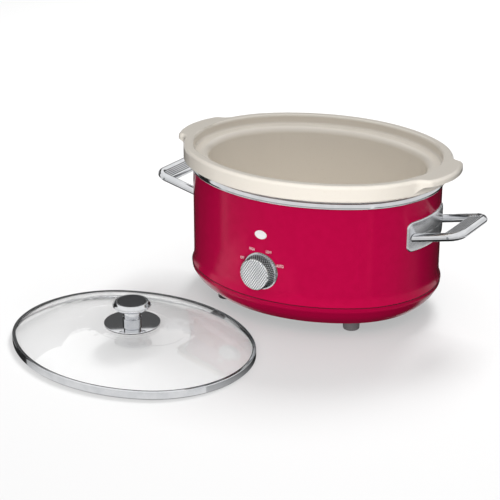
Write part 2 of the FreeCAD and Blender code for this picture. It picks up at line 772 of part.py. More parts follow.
def tie_bolt():
    reach = plate_under - 1.5 * s.tie_nut_height
    body = new_body("tie_bolt")
    revolve(body, [
        Corner(0, reach),
        Corner(s.tie_radius, reach),
        Corner(s.tie_radius, liner_floor),
        Corner(s.tie_head, liner_floor),
        Corner(s.tie_head, liner_floor + s.tie_head_height, rounding=s.tie_head_height / 2),
        Corner(0, liner_floor + s.tie_head_height),
    ], "tie_turned")
    nut = new_body("tie_nut")
    blank = new_sketch(nut, "tie_nut_blank", height=plate_under - s.tie_nut_height)
    hexagon(blank, s.tie_nut_flats)
    circle(blank, 0, 0, s.tie_radius + s.run_gap)
    pad(nut, blank, s.tie_nut_height, "tie_nut_prism")


def slanted_band(body, inner_gap, thickness, name):
    """A band that lies along the liner's leaning wall, between the heater's edges."""
    top = s.band_bottom + s.band_height
    low = liner_offset(s.band_bottom) + inner_gap
    high = liner_offset(top) + inner_gap
    sweep_round_oval(body, [
        Corner(low, s.band_bottom),
        Corner(low + thickness, s.band_bottom),
        Corner(high + thickness, top),
        Corner(high, top),
    ], name)


def heater_band():
    body = new_body("heater_band")
    slanted_band(body, s.fit_gap, s.band_thick, "band_strip")
    middle = s.band_bottom + s.band_height / 2
    half_split = s.band_split / 2
    split = new_sketch(body, "band_split", "XZ_Plane")
    rectangle(split, -half_split, half_split, 0, FARTHEST)
    pocket(body, split, FARTHEST, "band_opening")
    ear_root = s.half_depth + liner_offset(middle + s.ear_height / 2) + 2 * s.fit_gap
    ears = new_sketch(body, "band_ears", height=middle - s.ear_height / 2)
    for side in (-1, 1):
        ends = sorted((side * half_split, side * (half_split + s.band_thick)), key=lambda e: e.number)
        rectangle(ears, ends[0], ends[1], ear_root, ear_root + s.ear_reach)
    pad(body, ears, s.ear_height, "clamp_ears")
    bores = new_sketch(body, "ear_bores", "YZ_Plane")
    circle(bores, clamp_y(), middle, screw_hole)
    pocket(body, bores, FARTHEST, "ear_cut", side="Symmetric")

    bolt = screw("band_bolt", s.screw_head, s.screw_head_height, s.screw_radius,
                 s.band_split + 2 * s.band_thick + s.screw_bite)
    place(bolt, s.cooker_x - half_split - s.band_thick, s.cooker_y + clamp_y(), middle,
          Rotation(Vector(0, 1, 0), 90))


def clamp_y():
    """How far back the heater band's clamp bolt lies."""
    middle = s.band_bottom + s.band_height / 2
    ear_root = s.half_depth + liner_offset(middle + s.ear_height / 2)
    return ear_root + s.ear_reach - s.screw_head


def insulation(label, turn):
    body = new_body(label)
    slanted_band(body, s.band_thick + 2 * s.fit_gap, s.blanket_thick, f"{label}_wrap")
    trim = new_sketch(body, f"{label}_end")
    rectangle(trim, -FARTHEST, s.blanket_edge, -FARTHEST, FARTHEST)
    pocket(body, trim, FARTHEST, f"{label}_cut", reverse=True)
    place(body, s.cooker_x, s.cooker_y, 0, Rotation(Vector(0, 0, 1), turn))


def thermal_fuse():
    """A fuse held against the liner's floor by a bent clip."""
    half = s.fuse_length / 2
    fuse = new_body("thermal_fuse")
    revolve(fuse, [
        Corner(0, -half - s.lead_length),
        Corner(s.lead_radius, -half - s.lead_length),
        Corner(s.lead_radius, -half),
        Corner(s.fuse_radius, -half),
        Corner(s.fuse_radius, half),
        Corner(s.lead_radius, half),
        Corner(s.lead_radius, half + s.lead_length),
        Corner(0, half + s.lead_length),
    ], "fuse_turned")
    place(fuse, s.cooker_x + s.fuse_x, s.cooker_y, liner_under - s.fuse_radius - s.fit_gap,
          Rotation(Vector(1, 0, 0), 90))

    clip = new_body("fuse_clip")
    inside = s.fuse_radius + s.fit_gap
    outside = inside + s.clip_wall
    drop = 2 * inside
    bent = new_sketch(clip, "clip_bend", "XZ_Plane")
    outline(bent, [
        Corner(-outside - s.clip_ear, 0),
        Corner(-inside, 0),
        Corner(-inside, -drop),
        Corner(inside, -drop),
        Corner(inside, 0),
        Corner(outside + s.clip_ear, 0),
        Corner(outside + s.clip_ear, -s.clip_wall),
        Corner(outside, -s.clip_wall),
        Corner(outside, -drop - s.clip_wall),
        Corner(-outside, -drop - s.clip_wall),
        Corner(-outside, -s.clip_wall),
        Corner(-outside - s.clip_ear, -s.clip_wall),
    ])
    pad(clip, bent, s.clip_width, "clip_strip", side="Symmetric")
    place(clip, s.cooker_x + s.fuse_x, s.cooker_y, liner_under)


def terminal_block():
    body = new_body("terminal_block")
    half_length, half_depth = s.block_length / 2, s.block_depth / 2
    blank = new_sketch(body, "block_blank", height=plate_top)
    rectangle(blank, -half_length, half_length, block_y - half_depth, block_y + half_depth)
    pad(body, blank, s.block_height, "block_body")
    wells = new_sketch(body, "block_wells", height=plate_top + s.block_height)
    for column in (-1, 0, 1):
        circle(wells, column * s.block_length / 3, block_y, s.screw_head)
    pocket(body, wells, s.block_height / 2, "block_cups")


def wire(points):
    """A round wire along straight runs, bent at its inner points."""
    runs = []
    start = points[0]
    for before, corner, after in zip(points, points[1:], points[2:]):
        bend_in, bend_out = rounding_points(before, corner, after, s.wire_bend.number)
        halfway = (bend_in - corner).normalize() + (bend_out - corner).normalize()
        half_angle = (bend_in - corner).getAngle(bend_out - corner) / 2
        depth = s.wire_bend.number * (1 / math.sin(half_angle) - 1)
        crest = corner + halfway.normalize() * depth
        runs.append(Part.LineSegment(start, bend_in).toShape())
        runs.append(Part.Arc(bend_in, crest, bend_out).toShape())
        start = bend_out
    runs.append(Part.LineSegment(start, points[-1]).toShape())
    section = Part.Circle(points[0], points[1] - points[0], s.wire_radius.number)
    return Part.Wire(runs).makePipeShell([Part.Wire([section.toShape()])], True, True)


def wiring():
    """Two wires from the terminal block to the switch's tabs and two to the heater band's ears."""
    column = s.block_length / 3
    low = plate_top + s.block_height / 2
    high = liner_under - 3 * s.wire_radius
    block_front = block_y - s.block_depth / 2 - s.fit_gap
    block_back = block_y + s.block_depth / 2 + s.fit_gap
    tab_y = -(s.half_depth - s.shell_wall - s.switch_stand - s.switch_depth / 2)
    tab_end = s.knob_height - s.switch_side / 2 - s.tab_length - s.fit_gap
    front_rise = tab_y + s.boss_inset + s.wire_bend
    ear_x = s.band_split / 2 + s.band_thick + s.wire_radius + s.fit_gap
    ear_y = clamp_y()
    ear_foot = s.band_bottom + s.band_height / 2 - s.screw_head - s.wire_radius
    rear_rise = s.half_depth - s.boss_inset
    tubes = []
    for side in (-1, 1):
        to_switch = [(column, block_front, low), (column, front_rise, low),
                     (s.tab_pitch / 2, tab_y, high), (s.tab_pitch / 2, tab_y, tab_end)]
        to_heater = [(column, block_back, low), (column, rear_rise, low),
                     (ear_x, ear_y, high), (ear_x, ear_y, ear_foot)]
        for stops in (to_switch, to_heater):
            tubes.append(wire([Vector(side * x.number, y.number, z.number) for x, y, z in stops]))
    node = document.addObject("Part::Feature", "wiring")
    node.Label = "wiring"
    node.Shape = Part.makeCompound(tubes)
    place(node, s.cooker_x, s.cooker_y, 0)
    sub_parts.append(node)


def cord_gland():
    body = new_body("cord_gland")
    back = -s.shell_wall - 3 * s.fit_gap
    revolve(body, [
        Corner(s.gland_bore, back - s.gland_rim),
        Corner(s.gland_neck + s.gland_snap, back - s.gland_rim),
        Corner(s.gland_neck + s.gland_snap, back),
        Corner(s.gland_neck, back),
        Corner(s.gland_neck, s.fit_gap / 2),
        Corner(s.gland_flange, s.fit_gap / 2),
        Corner(s.gland_flange, s.gland_face, rounding=s.gland_face / 2),
        Corner(s.gland_bore, s.gland_face),
    ], "gland_turned")
    place(body, s.cooker_x, s.cooker_y + s.half_depth, s.gland_height, Rotation(Vector(1, 0, 0), -90))


# Controls on the front wall

def selector_switch():
    body = new_body("selector_switch")
    half = s.switch_side / 2
    front = -(s.shell_wall + s.switch_stand)
    housing = new_sketch(body, "switch_housing", height=front)
    rectangle(housing, -half, half, -half, half)
    pad(body, housing, s.switch_depth, "switch_body", reverse=True)
    shoulder = new_sketch(body, "switch_shoulder", height=front)
    circle(shoulder, 0, 0, s.bush_radius + s.collar_width)
    pad(body, shoulder, s.switch_stand - 1.5 * s.fit_gap, "switch_collar")
    bush = new_sketch(body, "switch_bush", height=front)
    circle(bush, 0, 0, s.bush_radius)
    pad(body, bush, s.bush_length - front, "switch_neck")
    bore = new_sketch(body, "switch_bore", height=s.bush_length)
    circle(bore, 0, 0, s.shaft_radius + s.run_gap)
    pocket(body, bore, s.bush_length - front + s.shaft_hold, "switch_hole")
    tabs = new_sketch(body, "switch_tabs", height=front - s.switch_depth / 2)
    for column in (-1, 1):
        middle = column * s.tab_pitch / 2
        reach = s.tab_width / 2
        rectangle(tabs, middle - reach, middle + reach, -half - s.tab_length, -half + s.tab_thick)
    pad(body, tabs, s.tab_thick, "switch_blades", side="Symmetric")
    on_front_wall(body, s.knob_height)

    nut = new_body("switch_nut")
    blank = new_sketch(nut, "switch_nut_blank", height=s.fit_gap / 2)
    hexagon(blank, s.switch_nut_flats)
    circle(blank, 0, 0, s.bush_radius + s.run_gap)
    pad(nut, blank, s.switch_nut_height, "switch_nut_prism")
    on_front_wall(nut, s.knob_height)


def knob_bezel():
    """A flat ring whose back follows the curved wall."""
    body = new_body("knob_bezel")
    blank = new_sketch(body, "bezel_blank", height=-s.bezel_thick - 1)
    circle(blank, 0, 0, s.bezel_radius)
    circle(blank, 0, 0, s.bezel_bore)
    pad(body, blank, 2 * s.bezel_thick + 1, "bezel_ring")
    wall = new_sketch(body, "bezel_wall", "XZ_Plane")
    oval(wall, s.fit_gap / 2, middle_y=-s.half_depth)
    pocket(body, wall, FARTHEST, "bezel_back", side="Symmetric")
    on_front_wall(body, s.knob_height)


def control_knob():
    body = new_body("control_knob")
    back = s.bezel_thick + s.rest_gap
    face = back + s.knob_depth
    inner = s.knob_radius - s.knob_wall
    bore = s.shaft_radius + s.run_gap / 2
    ceiling = face - s.knob_wall
    revolve(body, [
        Corner(bore, s.bush_length + s.rest_gap),
        Corner(s.knob_hub, s.bush_length + s.rest_gap),
        Corner(s.knob_hub, ceiling - s.knob_wall),
        Corner(inner - s.knob_wall, ceiling - s.knob_wall),
        Corner(inner, back),
        Corner(s.knob_radius, back),
        Corner(s.knob_face, face, rounding=s.knob_round),
        Corner(s.knob_face - s.face_border, face),
        Corner(0, face - s.knob_dish),
        Corner(0, ceiling),
        Corner(bore, ceiling),
    ], "knob_turned")
    document.recompute()
    flute = new_sketch(body, "knob_flute", height=back)
    circle(flute, s.knob_radius + s.flute_radius / 3, 0, s.flute_radius)
    cut = pocket(body, flute, s.knob_depth - 2 * s.knob_round, "knob_groove", reverse=True)
    document.recompute()
    ring = body.newObject("PartDesign::PolarPattern", "knob_flutes")
    ring.Originals = [cut]
    ring.Axis = (flute, ["N_Axis"])
    ring.Angle = 360
    ring.Occurrences = KNOB_FLUTES
    body.Tip = ring
    on_front_wall(body, s.knob_height)

    shaft = new_body("switch_shaft")
    foot = -(s.shell_wall + s.switch_stand + s.shaft_hold) + s.rest_gap
    revolve(shaft, [
        Corner(0, foot),
        Corner(s.shaft_radius, foot),
        Corner(s.shaft_radius, ceiling - s.rest_gap),
        Corner(0, ceiling - s.rest_gap),
    ], "shaft_turned")
    on_front_wall(shaft, s.knob_height)


def indicator():
    lens = new_body("indicator_lens")
    lens_back = -(s.shell_wall + 2 * s.lens_flange)
    dome = new_sketch(lens, "lens_oval", height=lens_back)
    oval(dome, 0, s.lens_half_width, s.lens_half_height, s.lens_end)
    window = pad(lens, dome, s.lens_proud - lens_back, "lens_window")
    flange = new_sketch(lens, "lens_flange_oval", height=lens_back)
    oval(flange, s.lens_flange, s.lens_half_width, s.lens_half_height, s.lens_end)
    window = pad(lens, flange, s.lens_flange, "lens_rim")
    front = s.lens_proud.number

    def front_edge(edge):
        return abs(edge.BoundBox.ZMin - front) < 1e-4 and abs(edge.BoundBox.ZMax - front) < 1e-4

    fillet(lens, window, s.lens_proud / 2, "lens_edge", front_edge)
    on_front_wall(lens, s.lens_height)

    lamp = new_body("indicator_lamp")
    top = lens_back - s.fit_gap
    revolve(lamp, [
        Corner(0, top),
        Corner(s.lamp_radius, top, rounding=s.lamp_radius / 2),
        Corner(s.lamp_radius, top - s.lamp_length),
        Corner(0, top - s.lamp_length),
    ], "lamp_bulb")
    on_front_wall(lamp, s.lens_height)


# Handles

def tilted_sketch(body, name, role, base, axis):
    """A sketch on the handle's slope: base is where the arms meet the wall, axis the turn."""
    sketch = body.newObject("Sketcher::SketchObject", name)
    sketch.AttachmentSupport = [(origin_plane(body, role), "")]
    sketch.MapMode = "FlatFace"
    sketch.AttachmentOffset = Placement(Vector(), Rotation(axis, s.handle_tilt.number))
    sketch.setExpression("AttachmentOffset.Rotation.Angle", s.handle_tilt.text)
    for letter, value in base.items():
        sketch.setExpression(f"AttachmentOffset.Base.{letter}", value.text)
    return sketch


def slope_section(body, name):
    """A sketch across the handle's bar: x runs out along the arms, y square to them."""
    return tilted_sketch(body, name, "XZ_Plane", {"x": s.half_length, "y": s.arm_height}, Vector(0, 0, 1))


def wall_plate(label, turn):
    body = new_body(label)
    face = new_sketch(body, f"{label}_face", "YZ_Plane")
    low = s.wall_plate_height - s.wall_plate_rise
    high = s.wall_plate_height + s.wall_plate_rise
    outline(face, [
        Corner(-s.wall_plate_half, low, rounding=s.wall_plate_corner),
        Corner(s.wall_plate_half, low, rounding=s.wall_plate_corner),
        Corner(s.wall_plate_half, high, rounding=s.wall_plate_corner),
        Corner(-s.wall_plate_half, high, rounding=s.wall_plate_corner),
    ])
    for side in (-1, 1):
        circle(face, side * s.arm_spread, s.arm_height, screw_hole)
    pad(body, face, s.half_length + 2 * s.wall_plate_thick, f"{label}_block")
    inside = new_sketch(body, f"{label}_inside")
    oval(inside, s.fit_gap)
    pocket(body, inside, FARTHEST, f"{label}_back", reverse=True)
    outside = new_sketch(body, f"{label}_outside")
    rectangle(outside, -FARTHEST, FARTHEST, -FARTHEST, FARTHEST)
    oval(outside, s.fit_gap + s.wall_plate_thick)
    front = pocket(body, outside, FARTHEST, f"{label}_front", reverse=True)
    fillet(body, front, s.wall_plate_edge, f"{label}_edge", is_plate_edge)
    place(body, s.cooker_x, s.cooker_y, 0, Rotation(Vector(0, 0, 1), turn))


def is_plate_edge(edge):
    """Does this edge bound a wall plate's front face, away from its screw holes?"""
    face_radius = s.end_radius.number + s.fit_gap.number + s.wall_plate_thick.number
    end_centre = s.half_length.number - s.end_radius.number
    for place_on_edge in (0, 0.5, 1):
        length = edge.LastParameter - edge.FirstParameter
        point = edge.valueAt(edge.FirstParameter + place_on_edge * length)
        if abs(math.hypot(point.x - end_centre, point.y) - face_radius) > 1e-3:
            return False
    box = edge.BoundBox
    hole_width = 3 * screw_hole.number
    return max(box.YLength, box.ZLength) > hole_width


def rod_path(body, name, root):
    """The middle line of the handle's rod, from a root inside the wall, out, across and back."""
    path = tilted_sketch(body, name, "XY_Plane",
                         {"x": s.half_length, "z": s.arm_height}, Vector(0, -1, 0))
    outline(path, [
        Corner(root, -s.arm_spread),
        Corner(s.handle_reach, -s.arm_spread, rounding=s.handle_bend),
        Corner(s.handle_reach, s.arm_spread, rounding=s.handle_bend),
        Corner(root, s.arm_spread),
    ], closed=False)
    document.recompute()
    return path


def along_rod(body, kind, path, radius, name):
    """Carry a circle along the rod's middle line."""
    section = body.newObject("Sketcher::SketchObject", f"{name}_section")
    section.AttachmentSupport = [(path, "Edge1")]
    section.MapMode = "NormalToEdge"
    circle(section, 0, 0, radius)
    feature = body.newObject(kind, name)
    feature.Profile = section
    feature.Spine = (path, [])
    return feature


def handle_rod(label, turn):
    body = new_body(label)
    path = rod_path(body, f"{label}_path", -(s.half_length - s.end_radius) / 3)
    along_rod(body, "PartDesign::AdditivePipe", path, s.rod_radius, f"{label}_bend")
    inside = new_sketch(body, f"{label}_inside")
    oval(inside, s.wall_plate_thick + 2 * s.fit_gap)
    pocket(body, inside, FARTHEST, f"{label}_root", reverse=True)
    bores = new_sketch(body, f"{label}_bores", "YZ_Plane")
    for side in (-1, 1):
        circle(bores, side * s.arm_spread, s.arm_height, screw_hole)
    pocket(body, bores, s.half_length + s.screw_bite, f"{label}_screw_bores", reverse=True)
    pins = slope_section(body, f"{label}_pins")
    circle(pins, s.handle_reach - s.pin_inset, 0, s.pin_radius + s.fit_gap)
    pocket(body, pins, FARTHEST, f"{label}_pin_bores", side="Symmetric")
    place(body, s.cooker_x, s.cooker_y, 0, Rotation(Vector(0, 0, 1), turn))


def grip(label, turn):
    """A slab that fills the handle's bow, hollowed to the rod, with grooves along its top."""
    body = new_body(label)
    section = slope_section(body, f"{label}_section")
    inner = s.handle_reach - s.grip_width
    half = s.grip_thick / 2
    first = inner + s.grip_round + s.groove_pitch / 2
    corners = [
        Corner(inner, half, rounding=s.grip_round),
        Corner(inner, -half, rounding=s.grip_round),
        Corner(s.handle_reach, -half),
        Corner(s.handle_reach, half),
    ]
    for number in reversed(range(GRIP_GROOVES)):
        middle = first + number * s.groove_pitch
        corners += [
            Corner(middle + s.groove_width / 2, half),
            Corner(middle, half - s.groove_depth),
            Corner(middle - s.groove_width / 2, half),
        ]
    outline(section, corners)
    pad(body, section, 2 * s.arm_spread, f"{label}_slab", side="Symmetric")
    round_plan_corners(body, f"{label}_plan", inner)
    path = rod_path(body, f"{label}_path", 0)
    along_rod(body, "PartDesign::SubtractivePipe", path, s.rod_radius + s.fit_gap, f"{label}_channel")
    pins = slope_section(body, f"{label}_pins")
    circle(pins, s.handle_reach - s.pin_inset, 0, s.pin_radius + s.fit_gap)
    pocket(body, pins, FARTHEST, f"{label}_pin_bores", side="Symmetric")
    place(body, s.cooker_x, s.cooker_y, 0, Rotation(Vector(0, 0, 1), turn))


def round_plan_corners(body, name, inner):
    """Cut the slab's outer corners back to the rod's bends."""
    plan = tilted_sketch(body, name, "XY_Plane",
                         {"x": s.half_length, "z": s.arm_height}, Vector(0, -1, 0))
    margin = s.rod_radius
    outline(plan, [
        Corner(inner - margin, -s.arm_spread),
        Corner(s.handle_reach, -s.arm_spread, rounding=s.handle_bend),
        Corner(s.handle_reach, s.arm_spread, rounding=s.handle_bend),
        Corner(inner - margin, s.arm_spread),
    ])
    rectangle(plan, inner - 2 * margin, s.handle_reach + margin,
              -s.arm_spread - margin, s.arm_spread + margin)
    pocket(body, plan, FARTHEST, f"{name}_cut", side="Symmetric")


def grip_screws():
    """Short screws through the arms into the grips' ends, on both handles."""
    bodies = []
    for turn in (0, 180):
        body = document.addObject("PartDesign::Body", f"grip_screw_pair_{turn}")
        section = slope_section(body, f"pin_section_{turn}")
        circle(section, s.handle_reach - s.pin_inset, 0, s.pin_radius)
        pad(body, section, 2 * (s.arm_spread + s.rod_radius), f"pin_rods_{turn}", side="Symmetric")
        gap = slope_section(body, f"pin_gap_{turn}")
        circle(gap, s.handle_reach - s.pin_inset, 0, 3 * s.pin_radius)
        grip_span = 2 * (s.arm_spread - s.rod_radius - s.screw_bite)
        pocket(body, gap, grip_span, f"pin_middle_{turn}", side="Symmetric")
        place(body, s.cooker_x, s.cooker_y, 0, Rotation(Vector(0, 0, 1), turn))
        bodies.append(body)
    group = document.addObject("Part::Compound", "grip_screws")
    group.Label = "grip_screws"
    group.Links = bodies
    sub_parts.append(group)


def handle_screws():
    """Screws from inside the shell into the ends of the handle rods."""
    end_centre = s.half_length - s.end_radius
    inside = s.end_radius - s.shell_wall - s.fit_gap
    spread = s.arm_spread + s.screw_head
    head_face = end_centre + (inside * inside - spread * spread).root()
    length = s.half_length + s.screw_bite - s.rest_gap - head_face
    bodies = []
    for turn in (0, 180):
        for side in (-1, 1):
            name = f"handle_screw_{turn}_{'front' if side < 0 else 'rear'}"
            body = screw(name, s.screw_head, s.screw_head_height, s.screw_radius, length)
            sub_parts.remove(body)
            outward = 1 if turn == 0 else -1
            place(body, s.cooker_x + outward * head_face, s.cooker_y + side * s.arm_spread,
                  s.arm_height, Rotation(Vector(0, outward, 0), 90))
            bodies.append(body)
    group = document.addObject("Part::Compound", "handle_screws")
    group.Label = "handle_screws"
    group.Links = bodies
    sub_parts.append(group)


# Crock

def crock():
    body = new_body("crock")
    seat_outer = crock_offset(crock_seat) + s.seat_width
    recess = -s.recess_inset
    mouth = crock_offset(lid_seat) - s.crock_wall
    hollow = crock_bottom + s.crock_hollow
    ring_inner = crock_offset(crock_bottom) - s.foot_ring
    sweep_round_oval(body, [
        Corner(crock_offset(crock_seat), crock_seat),
        Corner(seat_outer, crock_seat),
        Corner(seat_outer, flange_bottom),
        Corner(s.flange_out, flange_bottom),
        Corner(s.flange_out, rim_top),
        Corner(recess, rim_top, rounding=s.recess_round),
        Corner(recess, lid_seat, rounding=s.recess_round),
        Corner(mouth, lid_seat, rounding=s.mouth_round),
        Corner(crock_offset(crock_inside) - s.crock_wall, crock_inside, rounding=s.inner_corner),
        Corner(-s.floor_inset, crock_inside),
        Corner(-s.floor_inset, hollow),
        Corner(ring_inner, hollow),
        Corner(ring_inner, crock_bottom),
        Corner(crock_offset(crock_bottom), crock_bottom, rounding=s.outer_corner),
    ], "crock_wall")
    floor = new_sketch(body, "crock_floor", height=hollow)
    oval(floor, -s.floor_inset)
    pad(body, floor, crock_inside - hollow, "crock_bottom")
    lugs = new_sketch(body, "crock_lugs", height=flange_bottom + s.lug_lift)
    for side in (-1, 1):
        lug(lugs, side)
    lugged = pad(body, lugs, s.flange_height - s.lug_lift, "crock_lugs_pad")
    fillet(body, lugged, s.lug_round, "lug_corners", is_lug_corner)
    for side in (-1, 1):
        hollowed = hollow_lug(body, side)
    upper = fillet(body, hollowed, s.flange_round, "flange_top", outer_edge_at(rim_top))
    fillet(body, upper, s.flange_under, "flange_underside", outer_edge_at(flange_bottom))


def lug_shoulder():
    """The x of a lug's corners, where its bowed tip ends."""
    tip = s.half_length + s.flange_out + s.lug_reach
    return tip - s.lug_bow + (s.lug_bow * s.lug_bow - s.lug_half * s.lug_half).root()


def lug_root():
    """Where the hollow blend of a lug's flank runs out on the flange's end arc."""
    end_centre = s.half_length - s.end_radius
    flange_radius = s.end_radius + s.flange_out
    blend_centre = flange_radius + s.lug_blend
    along_x = lug_shoulder() - end_centre
    along_y = s.lug_half
    distance = (along_x * along_x + along_y * along_y).root()
    cosine = (distance * distance + blend_centre * blend_centre
              - s.lug_blend * s.lug_blend) / (2 * distance * blend_centre)
    sine = (1 - cosine * cosine).root()
    x = end_centre + flange_radius * (along_x * cosine - along_y * sine) / distance
    y = flange_radius * (along_y * cosine + along_x * sine) / distance
    return x, y


def lug(sketch, side):
    """A lifting lug: a bowed tip, and flanks that blend hollow into the flange."""
    shoulder = lug_shoulder()
    root_x, root_y = lug_root()
    outline(sketch, [
        Corner(side * shoulder, -side * s.lug_half, bow=s.lug_bow, bow_left=False),
        Corner(side * shoulder, side * s.lug_half, bow=s.lug_blend, bow_left=True),
        Corner(side * root_x, side * root_y),
        Corner(side * s.half_length, side * s.lug_half),
        Corner(side * s.half_length, -side * s.lug_half),
        Corner(side * root_x, -side * root_y, bow=s.lug_blend, bow_left=True),
    ])


def hollow_lug(body, side):
    """Turn a cove into a lug's underside, round the middle of the flange's end arc."""
    name = f"{'right' if side > 0 else 'left'}_cove"
    wall = s.end_radius + s.flange_out
    root = flange_bottom + s.lug_lift
    tip_under = rim_top - s.lug_tip
    clear_of_tip = wall + 2 * s.lug_reach
    section = new_sketch(body, f"{name}_section", "XZ_Plane")
    section.setExpression("AttachmentOffset.Base.x", (side * (s.half_length - s.end_radius)).text)
    outline(section, [
        Corner(side * wall, root, bow=s.lug_cove, bow_left=side > 0),
        Corner(side * (wall + s.lug_hollow), tip_under),
        Corner(side * clear_of_tip, tip_under),
        Corner(side * clear_of_tip, flange_bottom),
    ])
    cove = body.newObject("PartDesign::Groove", name)
    cove.Profile = section
    cove.ReferenceAxis = (section, ["V_Axis"])
    cove.Angle = 100
    cove.Midplane = True
    return cove


def is_lug_corner(edge):
    """Is this one of the upright edges at a lug's shoulders?"""
    box = edge.BoundBox
    upright = box.XLength < 1e-4 and box.YLength < 1e-4
    at_x = abs(abs(box.Center.x) - lug_shoulder().number) < 1e-3
    at_y = abs(abs(box.Center.y) - s.lug_half.number) < 1e-3
    return upright and at_x and at_y


def outer_edge_at(height):
    """A test for the flange's outer edges at one height."""
    def wanted(edge):
        box = edge.BoundBox
        level = abs(box.ZMin - height.number) < 1e-4 and abs(box.ZMax - height.number) < 1e-4
        return level and outside_oval(edge, s.flange_out.number - 0.01)
    return wanted


def outside_oval(edge, offset):
    """Does the edge's middle lie at least this far outside the body's wall?"""
    point = edge.valueAt((edge.FirstParameter + edge.LastParameter) / 2)
    end_centre = s.half_length.number - s.end_radius.number
    side_radius = ((s.half_length.number ** 2 + s.half_depth.number ** 2
                    - 2 * s.half_length.number * s.end_radius.number)
                   / (2 * (s.half_depth.number - s.end_radius.number)))
    side_centre = side_radius - s.half_depth.number
    x, y = abs(point.x), abs(point.y)
    if x > end_centre and y / (x - end_centre) < side_centre / end_centre:
        return math.hypot(x - end_centre, y) - s.end_radius.number >= offset
    return math.hypot(x, y + side_centre) - side_radius >= offset


# Lid

def lid_glass():
    body = new_body("lid_glass")
    edge = rim_offset - s.rim_wall - s.fit_gap
    under = s.rim_height - s.rim_wall - s.glass_thick
    over = under + s.glass_thick
    start = rim_offset - s.rim_lip

    def bow(run):
        return (run * run + s.dome_rise * s.dome_rise) / (2 * s.dome_rise)

    top_run = s.dome_flat + start
    under_run = top_run - s.dome_lean
    sweep_round_oval(body, [
        Corner(edge, under),
        Corner(edge, over),
        Corner(start, over, bow=bow(top_run), bow_left=False),
        Corner(-s.dome_flat, over + s.dome_rise),
        Corner(-s.dome_flat, under + s.dome_rise, bow=bow(under_run), bow_left=True),
        Corner(start - s.dome_lean, under),
    ], "glass_dome")
    crown = new_sketch(body, "glass_crown", height=under + s.dome_rise)
    oval(crown, -s.dome_flat)
    circle(crown, 0, 0, s.lid_screw_radius + s.fit_gap)
    pad(body, crown, s.glass_thick, "glass_middle")
    on_lid(body)


def lid_rim():
    body = new_body("lid_rim")
    inner = rim_offset - s.rim_wall
    lip = rim_offset - s.rim_lip
    over = s.rim_height - s.rim_wall
    under = over - s.glass_thick
    shelf = under - s.rim_wall
    sweep_round_oval(body, [
        Corner(lip, 0),
        Corner(rim_offset, 0, rounding=s.rim_wall),
        Corner(rim_offset, s.rim_height, rounding=s.rim_wall),
        Corner(lip, s.rim_height),
        Corner(lip, over),
        Corner(inner, over),
        Corner(inner, under),
        Corner(lip, under),
        Corner(lip, shelf),
        Corner(inner, shelf),
        Corner(inner, s.rim_wall),
        Corner(lip, s.rim_wall),
    ], "rim_band")
    on_lid(body)


def lid_knob():
    glass_under = s.rim_height - s.rim_wall - s.glass_thick + s.dome_rise
    glass_top = glass_under + s.glass_thick
    shield_under = glass_top + s.gasket_thick
    shield_top = shield_under + s.shield_thick
    stem_top = shield_top + s.stem_height
    hole = s.lid_screw_radius + s.fit_gap
    waist = shield_top + s.stem_waist

    def washer(label, bottom):
        body = new_body(label)
        revolve(body, [
            Corner(hole, bottom),
            Corner(s.gasket_radius, bottom),
            Corner(s.gasket_radius, bottom + s.gasket_thick),
            Corner(hole, bottom + s.gasket_thick),
        ], f"{label}_turned")
        on_lid(body)

    washer("lid_gasket", glass_top)
    washer("lid_seal", glass_under - s.gasket_thick)

    shield = new_body("lid_shield")
    revolve(shield, [
        Corner(hole, shield_under),
        Corner(s.shield_radius - s.shield_thick, shield_under),
        Corner(s.shield_radius, shield_under + s.shield_thick / 2),
        Corner(s.shield_radius, shield_top),
        Corner(hole, shield_top),
    ], "shield_turned")
    on_lid(shield)

    stem = new_body("lid_stem")
    revolve(stem, [
        Corner(hole, shield_top),
        Corner(s.stem_radius + s.stem_groove, shield_top),
        Corner(s.stem_radius + s.stem_groove, waist - s.stem_groove),
        Corner(s.stem_radius - s.stem_groove, waist),
        Corner(s.stem_radius, waist + s.stem_groove),
        Corner(s.stem_radius, stem_top),
        Corner(0, stem_top),
        Corner(0, shield_top + s.lid_screw_bite + s.rest_gap),
        Corner(hole, shield_top + s.lid_screw_bite + s.rest_gap),
    ], "stem_turned")
    on_lid(stem)

    cap_top = stem_top + s.cap_under + s.cap_over
    inlay_seat = cap_top - s.inlay_thick + s.inlay_proud
    cap = new_body("lid_cap")
    revolve(cap, [
        Corner(0, stem_top),
        Corner(s.cap_waist, stem_top),
        Corner(s.cap_radius, stem_top + s.cap_under, rounding=s.cap_round),
        Corner(s.inlay_radius + 2 * s.inlay_thick, cap_top, rounding=s.cap_edge),
        Corner(s.inlay_radius + s.fit_gap, cap_top),
        Corner(s.inlay_radius + s.fit_gap, inlay_seat),
        Corner(0, inlay_seat),
    ], "cap_turned")
    on_lid(cap)

    inlay = new_body("cap_inlay")
    revolve(inlay, [
        Corner(0, inlay_seat),
        Corner(s.inlay_radius, inlay_seat),
        Corner(s.inlay_radius, inlay_seat + s.inlay_thick, rounding=s.inlay_proud),
        Corner(0, inlay_seat + s.inlay_thick),
    ], "inlay_turned")
    on_lid(inlay)

    head_top = glass_under - s.gasket_thick
    head_bottom = head_top - s.lid_screw_head_height
    bolt = new_body("lid_screw")
    revolve(bolt, [
        Corner(0, head_bottom),
        Corner(s.lid_screw_head, head_bottom, rounding=s.lid_screw_head_height / 2),
        Corner(s.lid_screw_head, head_top),
        Corner(s.lid_screw_radius, head_top),
        Corner(s.lid_screw_radius, shield_top + s.lid_screw_bite),
        Corner(0, shield_top + s.lid_screw_bite),
    ], "lid_screw_turned")
    on_lid(bolt)


